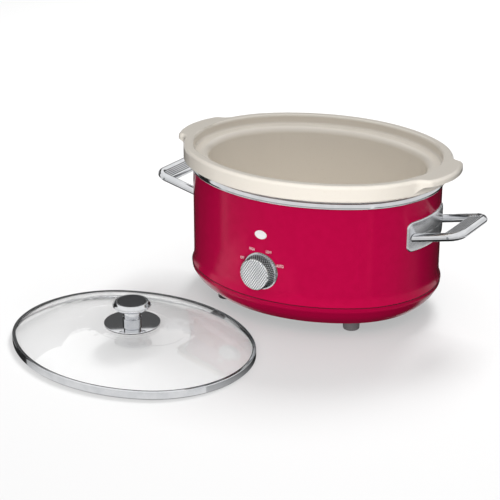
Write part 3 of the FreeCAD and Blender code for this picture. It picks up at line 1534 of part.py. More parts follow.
def build():
    outer_shell()
    trim_ring()
    base_skirt()
    bottom_plate()
    plate_screws()
    feet()
    inner_liner()
    tie_bolt()
    heater_band()
    insulation("insulation_right", 0)
    insulation("insulation_left", 180)
    thermal_fuse()
    terminal_block()
    wiring()
    cord_gland()
    selector_switch()
    knob_bezel()
    control_knob()
    indicator()
    for side, turn in (("right", 0), ("left", 180)):
        wall_plate(f"handle_plate_{side}", turn)
        handle_rod(f"handle_{side}", turn)
        grip(f"grip_{side}", turn)
    grip_screws()
    handle_screws()
    crock()
    lid_glass()
    lid_rim()
    lid_knob()


def write_steps():
    """Stop on any failed object; then write each sub-part to its own file."""
    document.recompute()
    for item in document.Objects:
        if {"Invalid", "Error"} & set(item.State):
            raise RuntimeError(f"{item.Label} failed: {item.State}")
    for part in sub_parts:
        if part.Shape.isNull() or not part.Shape.isValid() or not part.Shape.Solids:
            raise RuntimeError(f"{part.Label} has no sound solid")
    os.makedirs("parts", exist_ok=True)
    for part in sub_parts:
        part.Shape.exportStep(f"parts/{part.Label}.step")
        print(part.Label, len(part.Shape.Solids), round(part.Shape.Volume, 1))


build()
write_steps()
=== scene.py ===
"""Looks of an oval slow cooker whose domed glass lid lies on the table in front of it."""

import logging
import math
from dataclasses import dataclass
from enum import Enum

import bmesh
import bpy
from mathutils import Matrix, Vector

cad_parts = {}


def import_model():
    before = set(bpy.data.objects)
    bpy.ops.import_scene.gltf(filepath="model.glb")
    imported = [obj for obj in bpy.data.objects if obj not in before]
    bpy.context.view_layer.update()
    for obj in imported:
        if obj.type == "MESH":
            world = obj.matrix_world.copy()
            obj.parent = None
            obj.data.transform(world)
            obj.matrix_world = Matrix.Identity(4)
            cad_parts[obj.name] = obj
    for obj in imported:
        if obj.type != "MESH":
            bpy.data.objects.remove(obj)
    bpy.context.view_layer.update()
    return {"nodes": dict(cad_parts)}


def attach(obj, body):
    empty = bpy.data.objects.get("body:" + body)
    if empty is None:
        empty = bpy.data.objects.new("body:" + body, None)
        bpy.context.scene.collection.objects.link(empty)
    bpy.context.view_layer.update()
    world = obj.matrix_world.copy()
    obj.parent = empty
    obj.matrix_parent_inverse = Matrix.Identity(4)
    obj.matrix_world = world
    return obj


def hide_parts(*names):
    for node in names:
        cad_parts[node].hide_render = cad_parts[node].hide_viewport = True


log = logging.getLogger("slow_cooker")
MM = 0.001  # millimetres to metres
SHARP_TURN = math.radians(35)  # an edge that turns further than this stays sharp


def linear(hex_colour: str) -> tuple[float, float, float, float]:
    """Turn an sRGB hex colour into the linear colour that shaders use.

    Args:
        hex_colour: Colour as "#RRGGBB".

    Returns:
        Red, green, blue and an alpha of 1.
    """
    def channel(pair: str) -> float:
        """One linear channel from its two hex digits."""
        value = int(pair, 16) / 255
        return value / 12.92 if value <= 0.04045 else ((value + 0.055) / 1.055) ** 2.4

    digits = hex_colour.lstrip("#")
    return channel(digits[0:2]), channel(digits[2:4]), channel(digits[4:6]), 1.0


def add_node(
    tree: bpy.types.NodeTree,
    kind: str,
    inputs: dict[str | int, object] | None = None,
    **settings: object,
) -> bpy.types.Node:
    """Add one node with its settings, values and links.

    Args:
        tree: Tree that gets the node.
        kind: Blender's type name of the node.
        inputs: Input name or number, to a value or to an output socket to link from.
        **settings: Properties of the node itself.

    Returns:
        The new node.
    """
    node = tree.nodes.new(kind)
    for name, value in settings.items():
        setattr(node, name, value)
    for key, value in (inputs or {}).items():
        if isinstance(value, bpy.types.NodeSocket):
            tree.links.new(value, node.inputs[key])
        else:
            node.inputs[key].default_value = value
    return node


@dataclass(frozen=True)
class Oval:
    """The four-arc oval of the body's wall, in metres."""

    half_length: float = 147 * MM
    half_depth: float = 120 * MM
    end_radius: float = 107 * MM

    @property
    def side_radius(self) -> float:
        """Radius of the long arcs at front and back."""
        a, b, r = self.half_length, self.half_depth, self.end_radius
        return (a * a + b * b - 2 * a * r) / (2 * (b - r))

    def at(self, turn: float, offset: float, height: float) -> Vector:
        """The point of the oval where its outward direction has a given turn.

        Args:
            turn: Turn of the outward direction from +X, in radians.
            offset: Distance outside the wall.
            height: Height above the table.

        Returns:
            The point, from the oval's own middle.
        """
        end_centre = self.half_length - self.end_radius
        side_centre = self.side_radius - self.half_depth
        out = Vector((math.cos(turn), math.sin(turn), 0.0))
        if abs(out.y) * end_centre <= abs(out.x) * side_centre:
            middle, radius = Vector((math.copysign(end_centre, out.x), 0.0, height)), self.end_radius
        else:
            middle, radius = Vector((0.0, -math.copysign(side_centre, out.y), height)), self.side_radius
        return middle + out * (radius + offset)

    def ring(self, offset: float, height: float, count: int) -> list[Vector]:
        """Points all round the oval, at an offset and a height, by even turns of its outward direction."""
        return [self.at(math.tau * index / count, offset, height) for index in range(count)]

    def front(self, across: float) -> float:
        """Depth of the front wall, from the cooker's axis, at a distance across."""
        return self.side_radius - self.half_depth - math.sqrt(self.side_radius ** 2 - across ** 2)


@dataclass(frozen=True)
class Placing:
    """Where the cooker, or its lid, stands in the shared frame, in metres."""

    x: float = 20.7 * MM
    y: float = 106.6 * MM

    @property
    def middle(self) -> Vector:
        """The upright axis at the table."""
        return Vector((self.x, self.y, 0.0))


class Side(Enum):
    """The cooker's two ends; the value is the way along X."""

    LEFT = -1
    RIGHT = 1

    @property
    def word(self) -> str:
        """The side as it stands in the names of pieces."""
        return self.name.lower()


class Grain(Enum):
    """The pattern that a finish shows when looked at closely."""

    ORANGE_PEEL = "paint that has flowed out"
    SMEAR = "faint wiping marks"
    SPECKLE = "fine dark specks in a glaze"
    SPARK = "moulding texture of a spark-eroded tool"
    SPANGLE = "crystals of a zinc coat"
    DRAWN = "upright lines of drawn sheet"
    FIBRE = "tangled fibres"
    BRAID = "sleeve woven from threads"
    HATCH = "crossed lines cut into metal"
    KNURL = "grooves between the diamonds of a knurl"


# Pattern values at which the first colour ends and the second begins.
COLOUR_STOPS = {Grain.SPECKLE: (0.62, 0.72), Grain.HATCH: (0.06, 0.30)}
USUAL_STOPS = (0.35, 0.72)
# How much finer noise is laid over the coarse noise of a grain.
NOISE_DETAIL = {Grain.FIBRE: 8.0, Grain.SPECKLE: 3.0, Grain.SMEAR: 4.0}
USUAL_DETAIL = 2.0
DRAWN_STRETCH = 0.05  # drawn lines are twenty times as long as wide
HATCH_SLANT = 35  # degrees by which hatched lines lean to either side
WAVE_SCALE = math.pi / 10  # scale at which the wave texture has one line in a unit
BRAID_SCALE = 1 / 4  # less than WAVE_SCALE, so threads lie a little further apart than their grain size
BRAID_BEND = 1.5  # how far the wave texture's own noise bends a thread
COAT_ROUGHNESS = 0.03


@dataclass(frozen=True)
class Finish:
    """One real material with the way its surface was made."""

    name: str
    colour: str
    second: str
    grain: Grain
    grain_mm: float
    roughness: float
    roughness_spread: float = 0.05
    metallic: float = 0.0
    bump_mm: float = 0.0
    coat: float = 0.0
    ior: float = 1.5
    shine: str = "#FFFFFF"

    def pattern(self, tree: bpy.types.NodeTree) -> bpy.types.NodeSocket:
        """Make the grain as a value between 0 and 1.

        Args:
            tree: The material's tree.

        Returns:
            Output socket with the pattern.
        """
        if self.grain is Grain.KNURL:
            return add_node(tree, "ShaderNodeAttribute", attribute_name="groove").outputs["Fac"]
        place = add_node(tree, "ShaderNodeTexCoord").outputs["Object"]
        per_metre = 1 / (self.grain_mm * MM)
        if self.grain is Grain.SPANGLE:
            crystals = {"Vector": place, "Scale": per_metre}
            return add_node(tree, "ShaderNodeTexVoronoi", crystals).outputs["Color"]
        if self.grain is Grain.DRAWN:
            stretch = {"Vector": place, "Scale": (1, 1, DRAWN_STRETCH)}
            place = add_node(tree, "ShaderNodeMapping", stretch).outputs[0]
        if self.grain is Grain.BRAID:
            threads = {"Vector": place, "Scale": per_metre * BRAID_SCALE, "Distortion": BRAID_BEND}
            return add_node(tree, "ShaderNodeTexWave", threads, bands_direction="DIAGONAL").outputs["Fac"]
        if self.grain is Grain.HATCH:
            return self.crossed_lines(tree, place, per_metre)
        detail = NOISE_DETAIL.get(self.grain, USUAL_DETAIL)
        noise = {"Vector": place, "Scale": per_metre, "Detail": detail}
        return add_node(tree, "ShaderNodeTexNoise", noise).outputs["Fac"]

    @staticmethod
    def crossed_lines(
        tree: bpy.types.NodeTree, place: bpy.types.NodeSocket, per_metre: float
    ) -> bpy.types.NodeSocket:
        """Two sets of slanting lines that cross on an upright face.

        Args:
            tree: The material's tree.
            place: Object coordinates.
            per_metre: Lines in a metre.

        Returns:
            Output socket, highest where lines cross.
        """
        sets = []
        for slant in (HATCH_SLANT, -HATCH_SLANT):
            turned = add_node(tree, "ShaderNodeMapping", {
                "Vector": place, "Rotation": (0.0, math.radians(slant), 0.0)})
            sets.append(add_node(tree, "ShaderNodeTexWave", {
                "Vector": turned.outputs[0], "Scale": per_metre * WAVE_SCALE}, bands_direction="X"))
        return add_node(tree, "ShaderNodeMath", {
            0: sets[0].outputs["Fac"], 1: sets[1].outputs["Fac"]}, operation="MULTIPLY").outputs[0]

    def material(self) -> bpy.types.Material:
        """Build the finish as a node material.

        Returns:
            The material, made once and then reused.
        """
        made = bpy.data.materials.get(self.name)
        if made:
            return made
        made = bpy.data.materials.new(self.name)
        made.use_nodes = True
        tree = made.node_tree
        shader = tree.nodes["Principled BSDF"]
        grain = self.pattern(tree)
        stops = COLOUR_STOPS.get(self.grain, USUAL_STOPS)
        ramp = add_node(tree, "ShaderNodeValToRGB", {"Fac": grain})
        for element, colour, stop in zip(ramp.color_ramp.elements, (self.colour, self.second), stops):
            element.color = linear(colour)
            element.position = stop
        tree.links.new(ramp.outputs[0], shader.inputs["Base Color"])
        spread = add_node(tree, "ShaderNodeMapRange", {
            "Value": grain,
            "To Min": max(self.roughness - self.roughness_spread, 0.0),
            "To Max": self.roughness + self.roughness_spread,
        })
        tree.links.new(spread.outputs[0], shader.inputs["Roughness"])
        shader.inputs["Metallic"].default_value = self.metallic
        if not self.metallic:
            shader.inputs["IOR"].default_value = self.ior
            shader.inputs["Specular Tint"].default_value = linear(self.shine)
        shader.inputs["Coat Weight"].default_value = self.coat
        shader.inputs["Coat Roughness"].default_value = COAT_ROUGHNESS
        if self.bump_mm:
            bump = add_node(tree, "ShaderNodeBump", {
                "Height": grain, "Strength": 1.0, "Distance": self.bump_mm * MM})
            tree.links.new(bump.outputs[0], shader.inputs["Normal"])
        return made


@dataclass(frozen=True)
class ClearGlass:
    """Toughened float glass, polished, that lets lamps through."""

    name: str = "toughened_clear_glass"
    tint: str = "#FDFDFD"
    ior: float = 1.5
    wave_mm: float = 60.0
    most_roughness: float = 0.02

    def material(self) -> bpy.types.Material:
        """Build the glass; shadow rays pass it, because thin glass hardly shades.

        Returns:
            The material, made once and then reused.
        """
        made = bpy.data.materials.get(self.name)
        if made:
            return made
        made = bpy.data.materials.new(self.name)
        made.use_nodes = True
        tree = made.node_tree
        shader = tree.nodes["Principled BSDF"]
        place = add_node(tree, "ShaderNodeTexCoord").outputs["Object"]
        waves = add_node(tree, "ShaderNodeTexNoise", {"Vector": place, "Scale": 1 / (self.wave_mm * MM)})
        rough = add_node(tree, "ShaderNodeMapRange", {
            "Value": waves.outputs["Fac"], "To Max": self.most_roughness})
        tree.links.new(rough.outputs[0], shader.inputs["Roughness"])
        shader.inputs["Base Color"].default_value = linear(self.tint)
        shader.inputs["Transmission Weight"].default_value = 1.0
        shader.inputs["IOR"].default_value = self.ior
        clear = add_node(tree, "ShaderNodeBsdfTransparent", {"Color": linear(self.tint)})
        path = add_node(tree, "ShaderNodeLightPath")
        mix = add_node(tree, "ShaderNodeMixShader", {
            0: path.outputs["Is Shadow Ray"], 1: shader.outputs[0], 2: clear.outputs[0]})
        tree.links.new(mix.outputs[0], tree.nodes["Material Output"].inputs["Surface"])
        return made


# Enamel flows out to a deep, wet gloss with a faint orange peel, and its shine is tinted by the red.
RED_ENAMEL = Finish("baked_red_enamel", "#B20840", "#AD073D", Grain.ORANGE_PEEL, 9.0,
                    roughness=0.14, bump_mm=0.003, shine="#FF3F6C")
# Moulded to match the enamel, a little softer in its shine.
RED_MOULDING = Finish("moulded_red_plastic", "#A4063A", "#9D0536", Grain.SPARK, 1.2,
                      roughness=0.20, bump_mm=0.003, ior=1.35, shine="#FF3F6C")
# Plated and polished: a mirror with the faintest wiping marks.
CHROME = Finish("polished_chrome_plate", "#E6E7E9", "#DADCDF", Grain.SMEAR, 14.0,
                roughness=0.07, roughness_spread=0.03, metallic=1.0)
# The handles' pressed plates are brushed before plating, so their mirror is blurred.
SATIN_CHROME = Finish("satin_chrome_plate", "#E6E7E9", "#DADCDF", Grain.SMEAR, 14.0,
                      roughness=0.26, roughness_spread=0.04, metallic=1.0)
# The lid's flat disc is a truer mirror than the bent parts.
MIRROR_CHROME = Finish("mirror_chrome_plate", "#E2E3E5", "#DCDDE0", Grain.SMEAR, 14.0,
                       roughness=0.015, roughness_spread=0.01, metallic=1.0)
# Chrome over crossed cuts on the control knob's face, drawn coarser than real cuts so that they show; the
# cuts are darker than the diamonds between them as painted shade.
HATCHED_CHROME = Finish("hatched_chrome_plate", "#B8BABC", "#FAFBFB", Grain.HATCH, 2.4,
                        roughness=0.2, roughness_spread=0.08, metallic=1.0, bump_mm=0.04)
# The knob's knurled side is chrome, bright on its diamonds, with painted shade darkening its grooves.
KNURLED_CHROME = Finish("knurled_chrome_plate", "#E4E6E8", "#3A3C3E", Grain.KNURL, 2.8,
                        roughness=0.2, roughness_spread=0.06, metallic=1.0)
# Painted shade: a dark line in the joint under the enamel stands in for the shade of the gap there.
PAINTED_SHADE_RED = Finish("painted_shade_red", "#3E0315", "#480419", Grain.SPARK, 0.6,
                          roughness=0.5, ior=1.35)
# Painted shade: dark cords round the lid's glass and under its shield disc, and dark strips in the grips'
# grooves, stand in for the shade there.
PAINTED_SHADE_GREY = Finish("painted_shade_grey", "#333334", "#3D3D3E", Grain.SPARK, 0.6,
                      roughness=0.5, bump_mm=0.01)
# Cream glaze over stoneware: soft shine, a few iron specks, slight waviness.
STONEWARE = Finish("glazed_cream_stoneware", "#EBE4D9", "#E8E0D4", Grain.SPECKLE, 2.2,
                   roughness=0.2, roughness_spread=0.02, ior=1.45)
# Dark moulded rubber with a dull bloom.
RUBBER = Finish("moulded_dark_rubber", "#5E5A5B", "#6A6667", Grain.SPARK, 0.8,
                roughness=0.6, bump_mm=0.02)
# Zinc-plated sheet shows its crystals.
ZINC = Finish("zinc_plated_steel", "#A9ADB0", "#C2C5C6", Grain.SPANGLE, 7.0,
              roughness=0.38, roughness_spread=0.08, metallic=1.0)
# Deep-drawn aluminium keeps the punch's upright lines.
DRAWN_ALUMINIUM = Finish("drawn_aluminium", "#C9CACC", "#B4B6B9", Grain.DRAWN, 1.5,
                         roughness=0.36, metallic=1.0)
# Aluminised band, browned a little by heat.
HEATER = Finish("aluminised_heater_band", "#8E8980", "#79736A", Grain.SMEAR, 12.0,
                roughness=0.45, metallic=1.0)
# Needled glass wool: soft, matt, tangled.
WOOL = Finish("needled_glass_wool", "#E3DCC6", "#CFC5A8", Grain.FIBRE, 1.6,
              roughness=0.95, roughness_spread=0.03, bump_mm=0.5)
# Black moulded phenolic.
BLACK_PLASTIC = Finish("moulded_black_plastic", "#1B1B1C", "#252526", Grain.SPARK, 0.7,
                       roughness=0.45, bump_mm=0.01)
# Silicone is milky and soft.
SILICONE = Finish("moulded_silicone", "#DEDDD8", "#D2D0CA", Grain.SPARK, 1.5, roughness=0.5, bump_mm=0.01)
# Glass-fibre sleeve on wire.
SLEEVE = Finish("braided_wire_sleeve", "#E8E2D4", "#C9BFA9", Grain.BRAID, 1.0, roughness=0.8, bump_mm=0.1)
# Fired steatite.
STEATITE = Finish("fired_steatite", "#D8CDB4", "#CCBF9F", Grain.SPECKLE, 0.6, roughness=0.6)
# Milky lens over the neon lamp.
LENS = Finish("milky_lens_plastic", "#E9E9E8", "#E0E0DF", Grain.SPARK, 1.0, roughness=0.25, coat=0.5)
# Lamp glass with a warm glow of neon when lit; here unlit.
LAMP = Finish("neon_lamp_glass", "#D9A27E", "#C98E68", Grain.SMEAR, 3.0, roughness=0.1)
# Dark inlay in the lid's cap.
INLAY = Finish("dark_gloss_inlay", "#4B4C4F", "#3C3D40", Grain.SMEAR, 6.0, roughness=0.2, metallic=1.0)
# Screen-printed ink, slightly uneven.
INK = Finish("printed_pale_ink", "#EFE6E6", "#E2D4D6", Grain.SPARK, 0.5, roughness=0.5)
GLASS = ClearGlass()

NODE_FINISHES: dict[str, Finish | ClearGlass] = {
    "outer_shell": RED_ENAMEL,
    "base_skirt": RED_MOULDING,
    "trim_ring": CHROME,
    "bottom_plate": ZINC,
    "plate_screws": ZINC,
    "feet": RUBBER,
    "foot_screws": ZINC,
    "inner_liner": DRAWN_ALUMINIUM,
    "tie_bolt": ZINC,
    "tie_nut": ZINC,
    "heater_band": HEATER,
    "band_bolt": ZINC,
    "insulation_right": WOOL,
    "insulation_left": WOOL,
    "thermal_fuse": STEATITE,
    "fuse_clip": ZINC,
    "terminal_block": BLACK_PLASTIC,
    "wiring": SLEEVE,
    "cord_gland": BLACK_PLASTIC,
    "selector_switch": BLACK_PLASTIC,
    "switch_nut": ZINC,
    "switch_shaft": ZINC,
    "knob_bezel": CHROME,
    "control_knob": CHROME,
    "indicator_lens": LENS,
    "indicator_lamp": LAMP,
    "handle_plate_right": SATIN_CHROME,
    "handle_plate_left": SATIN_CHROME,
    "handle_right": CHROME,
    "handle_left": CHROME,
    "grip_right": CHROME,
    "grip_left": CHROME,
    "grip_screws": ZINC,
    "handle_screws": ZINC,
    "crock": STONEWARE,
    "lid_glass": GLASS,
    "lid_rim": CHROME,
    "lid_gasket": SILICONE,
    "lid_seal": SILICONE,
    "lid_shield": MIRROR_CHROME,
    "lid_stem": CHROME,
    "lid_cap": CHROME,
    "cap_inlay": INLAY,
    "lid_screw": ZINC,
}
# Mirrors look past these, since the bright parts are to show none of the red.
UNMIRRORED = ("outer_shell", "base_skirt")


def dress_nodes(nodes: dict[str, bpy.types.Object]) -> None:
    """Give every carried-over CAD node its finish.

    Args:
        nodes: Node name to its object.
    """
    for name, piece in nodes.items():
        finish = NODE_FINISHES[name].material()
        for slot in piece.material_slots:
            slot.material = finish
        piece.visible_glossy = name not in UNMIRRORED
        log.info("dressed %s in %s", name, finish.name)


def skin(name: str, rings: list[list[Vector]], finish: Finish, wrap: bool = False) -> bpy.types.Object:
    """Join closed rings of points into one smooth closed piece.

    Args:
        name: Name of the piece.
        rings: Rings with the same number of points, in order.
        finish: What the piece is made of.
        wrap: Whether the last ring joins the first; otherwise the ends are closed.

    Returns:
        The piece, linked to the scene.
    """
    count = len(rings[0])
    faces = []
    for index in range(len(rings) if wrap else len(rings) - 1):
        here = index * count
        there = (index + 1) % len(rings) * count
        for point in range(count):
            after = (point + 1) % count
            faces.append((here + point, here + after, there + after, there + point))
    if not wrap:
        faces.append(tuple(range(count)))
        faces.append(tuple(range((len(rings) - 1) * count, len(rings) * count)))
    mesh = bpy.data.meshes.new(name)
    mesh.from_pydata([point for ring in rings for point in ring], [], faces)
    shaper = bmesh.new()
    shaper.from_mesh(mesh)
    bmesh.ops.recalc_face_normals(shaper, faces=shaper.faces)
    for face in shaper.faces:
        face.smooth = True
    for edge in shaper.edges:
        edge.smooth = edge.calc_face_angle(0.0) < SHARP_TURN
    shaper.to_mesh(mesh)
    shaper.free()
    mesh.materials.append(finish.material())
    piece = bpy.data.objects.new(name, mesh)
    bpy.context.collection.objects.link(piece)
    return piece


def arc(
    middle: tuple[float, float], radius: float, start: float, end: float, steps: int
) -> list[tuple[float, float]]:
    """Points along an arc in a plane.

    Args:
        middle: Centre of the arc.
        radius: Its radius.
        start: First angle, in degrees.
        end: Last angle, in degrees.
        steps: Number of steps between them.

    Returns:
        The points, both ends included.
    """
    points = []
    for step in range(steps + 1):
        angle = math.radians(start + (end - start) * step / steps)
        points.append((middle[0] + radius * math.cos(angle), middle[1] + radius * math.sin(angle)))
    return points


@dataclass
class TrimRing:
    """The bright bead between the enamelled shell and the crock; its leans are in degrees."""

    wall: Oval
    stand: Placing
    lip: float = 152.0 * MM
    top: float = 158.6 * MM
    web: float = 1.2 * MM
    inner: float = -7.5 * MM
    hug: float = 0.1 * MM
    bead: float = 1.9 * MM
    edge: float = 0.5 * MM
    low_lean: float = 8.0
    high_lean: float = 34.0
    points_round: int = 240

    def section(self) -> list[tuple[float, float]]:
        """The ring's section, rolled to face a little upwards.

        Returns:
            Offset from the wall and height of each point.
        """
        low = math.radians(self.low_lean)
        high = math.radians(self.high_lean)
        radius = (self.top - self.lip - self.edge * (1 - math.sin(low))) / (math.sin(low) + math.sin(high))
        middle = (self.bead - radius, self.top - radius * math.sin(high))
        reach = radius - self.edge
        foot = (middle[0] + reach * math.cos(low), middle[1] - reach * math.sin(low))
        rounded = arc(foot, self.edge, -90, -self.low_lean, steps=5)
        rolled = arc(middle, radius, -self.low_lean, self.high_lean, steps=12)
        return rounded + rolled[1:] + [
            (self.inner, self.top),
            (self.inner, self.top - self.web),
            (self.hug, self.top - self.web),
            (self.hug, self.lip),
        ]

    def build(self) -> bpy.types.Object:
        """Carry the section round the wall.

        Returns:
            The piece that stands in for the CAD ring.
        """
        rings = []
        for offset, height in self.section():
            around = self.wall.ring(offset, height, self.points_round)
            rings.append([self.stand.middle + point for point in around])
        piece = skin("rolled_trim_ring", rings, CHROME, wrap=True)
        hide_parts("trim_ring")
        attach(piece, "base")
        return piece


@dataclass
class HandlePlate:
    """A wall plate behind one handle: curved to the wall, with round corners and a soft edge."""

    wall: Oval
    stand: Placing
    side: Side
    height: float = 112.2 * MM
    half_width: float = 43.2 * MM
    half_height: float = 17.1 * MM
    corner: float = 7.0 * MM
    least_corner: float = 0.2 * MM
    thick: float = 2.4 * MM
    edge: float = 1.3 * MM
    edge_arc: float = 84.0  # degrees that the soft edge turns through before the crown takes over
    crown: float = 0.9 * MM
    crown_run: float = 15.0 * MM
    crown_shares: tuple[float, ...] = (0.15, 0.3, 0.45, 0.6, 0.75, 0.9, 1.0)
    face_shares: tuple[float, ...] = (0.6, 0.2)
    corner_steps: int = 10
    edge_steps: int = 12
    hug: float = 0.1 * MM

    def outline(self, inset: float) -> list[tuple[float, float]]:
        """The plate's rounded rectangle, drawn in by an inset.

        Args:
            inset: Distance from the plate's own outline.

        Returns:
            Points across and up from the plate's middle.
        """
        radius = max(self.corner - inset, self.least_corner)
        reach = self.half_width - inset - radius
        rise = self.half_height - inset - radius
        corners = ((reach, rise), (-reach, rise), (-reach, -rise), (reach, -rise))
        arcs = []
        for index, corner in enumerate(corners):
            arcs.append(arc(corner, radius, 90 * index, 90 * index + 90, self.corner_steps))
        points = []
        for here, there in zip(arcs, arcs[1:] + arcs[:1]):
            points += here + self.straight_edge(here[-1], there[0])
        return points

    def straight_edge(
        self, start: tuple[float, float], end: tuple[float, float]
    ) -> list[tuple[float, float]]:
        """Points between two corners, so that the edge bends with the wall.

        Args:
            start: Last point of one corner.
            end: First point of the next corner.

        Returns:
            The points between them, both ends left out.
        """
        points = []
        for step in range(1, self.edge_steps):
            share = step / self.edge_steps
            points.append((start[0] + (end[0] - start[0]) * share, start[1] + (end[1] - start[1]) * share))
        return points

    def on_wall(self, across: float, up: float, depth: float) -> Vector:
        """A place on the curved plate.

        Args:
            across: Distance across from the plate's middle.
            up: Distance up from its middle.
            depth: Distance outward from its back.

        Returns:
            The place in the shared frame.
        """
        end_centre = self.wall.half_length - self.wall.end_radius
        radius = self.wall.end_radius + self.hug + depth
        out = end_centre + math.sqrt(radius * radius - across * across)
        way = self.side.value
        return self.stand.middle + Vector((way * out, way * across, self.height + up))

    def build(self) -> bpy.types.Object:
        """Make the plate from its back, over its soft edge and crown, to the middle of its face.

        Returns:
            The piece that stands in for the CAD plate.
        """
        straight = self.thick - self.crown - self.edge
        steps = [(0.0, 0.0), (0.0, straight)]
        rounded = arc((0.0, 0.0), self.edge, 0, self.edge_arc, steps=6)
        steps += [(self.edge - x, straight + z) for x, z in rounded[1:]]
        for share in self.crown_shares:
            steps.append((self.edge + self.crown_run * share, self.thick - self.crown * (1 - share) ** 2))
        rings = []
        for inset, depth in steps:
            rings.append([self.on_wall(across, up, depth) for across, up in self.outline(inset)])
        face = self.outline(self.edge + self.crown_run)
        for share in self.face_shares:
            rings.append([self.on_wall(across * share, up * share, self.thick) for across, up in face])
        node = f"handle_plate_{self.side.word}"
        piece = skin(f"rounded_{node}", rings, SATIN_CHROME)
        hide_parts(node)
        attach(piece, "base")
        return piece


@dataclass
class ControlKnob:
    """The heat selector's knob: a cup with a knurled side and a hatched face."""

    wall: Oval
    stand: Placing
    height: float = 71.1 * MM
    back: float = 1.6 * MM
    face: float = 15.0 * MM
    radius: float = 19.8 * MM
    face_radius: float = 17.7 * MM
    rounding: float = 1.6 * MM
    rounding_start: float = 12.0  # degrees; the side leans, so the rounding starts above level
    border: float = 3.0 * MM
    dish: float = 0.8 * MM
    shell: float = 2.6 * MM
    hub: float = 6.0 * MM
    bore: float = 3.03 * MM
    hub_foot: float = 3.8 * MM
    diamonds: int = 44
    diamond_rows: float = 3.0
    knurl: float = 0.5 * MM
    knurl_rise: float = 6.0  # the knurl comes in, and goes out, over a sixth of the side
    side_steps: int = 26
    face_shares: tuple[float, ...] = (0.75, 0.5, 0.25, 0.02)
    points_round: int = 264

    def side_rings(self) -> list[tuple[float, float, float]]:
        """The knurled side from the back to the rounding.

        Returns:
            Radius, depth and share of the knurl of each ring.
        """
        top = self.face - self.rounding
        lean = (self.radius - self.face_radius) / (self.face - self.back)
        rings = []
        for step in range(self.side_steps + 1):
            share = step / self.side_steps
            depth = self.back + (top - self.back) * share
            fade = min(1.0, self.knurl_rise * share, self.knurl_rise * (1 - share))
            rings.append((self.radius - lean * (depth - self.back), depth, fade))
        return rings

    def section(self) -> list[tuple[float, float, float]]:
        """The whole section from the bore's front end, round the cup, to the middle of the face.

        Returns:
            Radius, depth and share of the knurl of each ring.
        """
        ceiling = self.face - self.shell
        inner = self.radius - self.shell
        plain = [
            (self.bore, ceiling),
            (self.bore, self.hub_foot),
            (self.hub, self.hub_foot),
            (self.hub, ceiling - self.shell),
            (inner - self.shell, ceiling - self.shell),
            (inner, self.back),
        ]
        rim_middle = (self.face_radius - self.rounding, self.face - self.rounding)
        rim = arc(rim_middle, self.rounding, self.rounding_start, 90, steps=6)
        dish_radius = self.face_radius - self.border
        dished = [(dish_radius, self.face)]
        for share in self.face_shares:
            dished.append((share * dish_radius, self.face - self.dish * (1 - share)))
        rings = [(radius, depth, 0.0) for radius, depth in plain]
        rings += self.side_rings()
        rings += [(radius, depth, 0.0) for radius, depth in rim + dished]
        return rings

    def groove(self, depth: float, angle: float) -> float:
        """The two sets of crossing grooves that leave the knurl's diamonds.

        Args:
            depth: Distance in front of the wall.
            angle: Angle round the knob, in radians.

        Returns:
            Depth of the groove there, as a share of the knurl.
        """
        along = math.pi * self.diamond_rows * (depth - self.back) / (self.face - self.back)
        around = angle * self.diamonds / 2
        return 1 - abs(math.sin(around + along) * math.sin(around - along))

    def point(self, radius: float, depth: float, fade: float, angle: float) -> Vector:
        """A place on the knob, with the knurl cut in.

        Args:
            radius: Distance from the knob's axis before the cut.
            depth: Distance in front of the wall.
            fade: Share of the knurl.
            angle: Angle round the knob, in radians.

        Returns:
            The place in the shared frame.
        """
        radius -= self.knurl * fade * self.groove(depth, angle)
        across = radius * math.cos(angle)
        up = radius * math.sin(angle)
        wall = self.stand.y - self.wall.half_depth
        return Vector((self.stand.x + across, wall - depth, self.height + up))

    def build(self) -> bpy.types.Object:
        """Turn the section into the knob.

        Returns:
            The piece that stands in for the CAD knob.
        """
        angles = [math.tau * index / self.points_round for index in range(self.points_round)]
        rings = []
        grooves = []
        for radius, depth, fade in self.section():
            rings.append([self.point(radius, depth, fade, angle) for angle in angles])
            grooves += [fade * self.groove(depth, angle) for angle in angles]
        piece = skin("knurled_control_knob", rings, HATCHED_CHROME)
        # The groove depth also drives the painted shade in the grooves of the side's finish.
        piece.data.attributes.new("groove", "FLOAT", "POINT").data.foreach_set("value", grooves)
        piece.data.materials.append(KNURLED_CHROME.material())
        side_front = self.stand.y - self.wall.half_depth - self.face + self.rounding
        for polygon in piece.data.polygons:
            polygon.material_index = 1 if polygon.center.y > side_front else 0
        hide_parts("control_knob")
        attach(piece, "control_knob")
        return piece


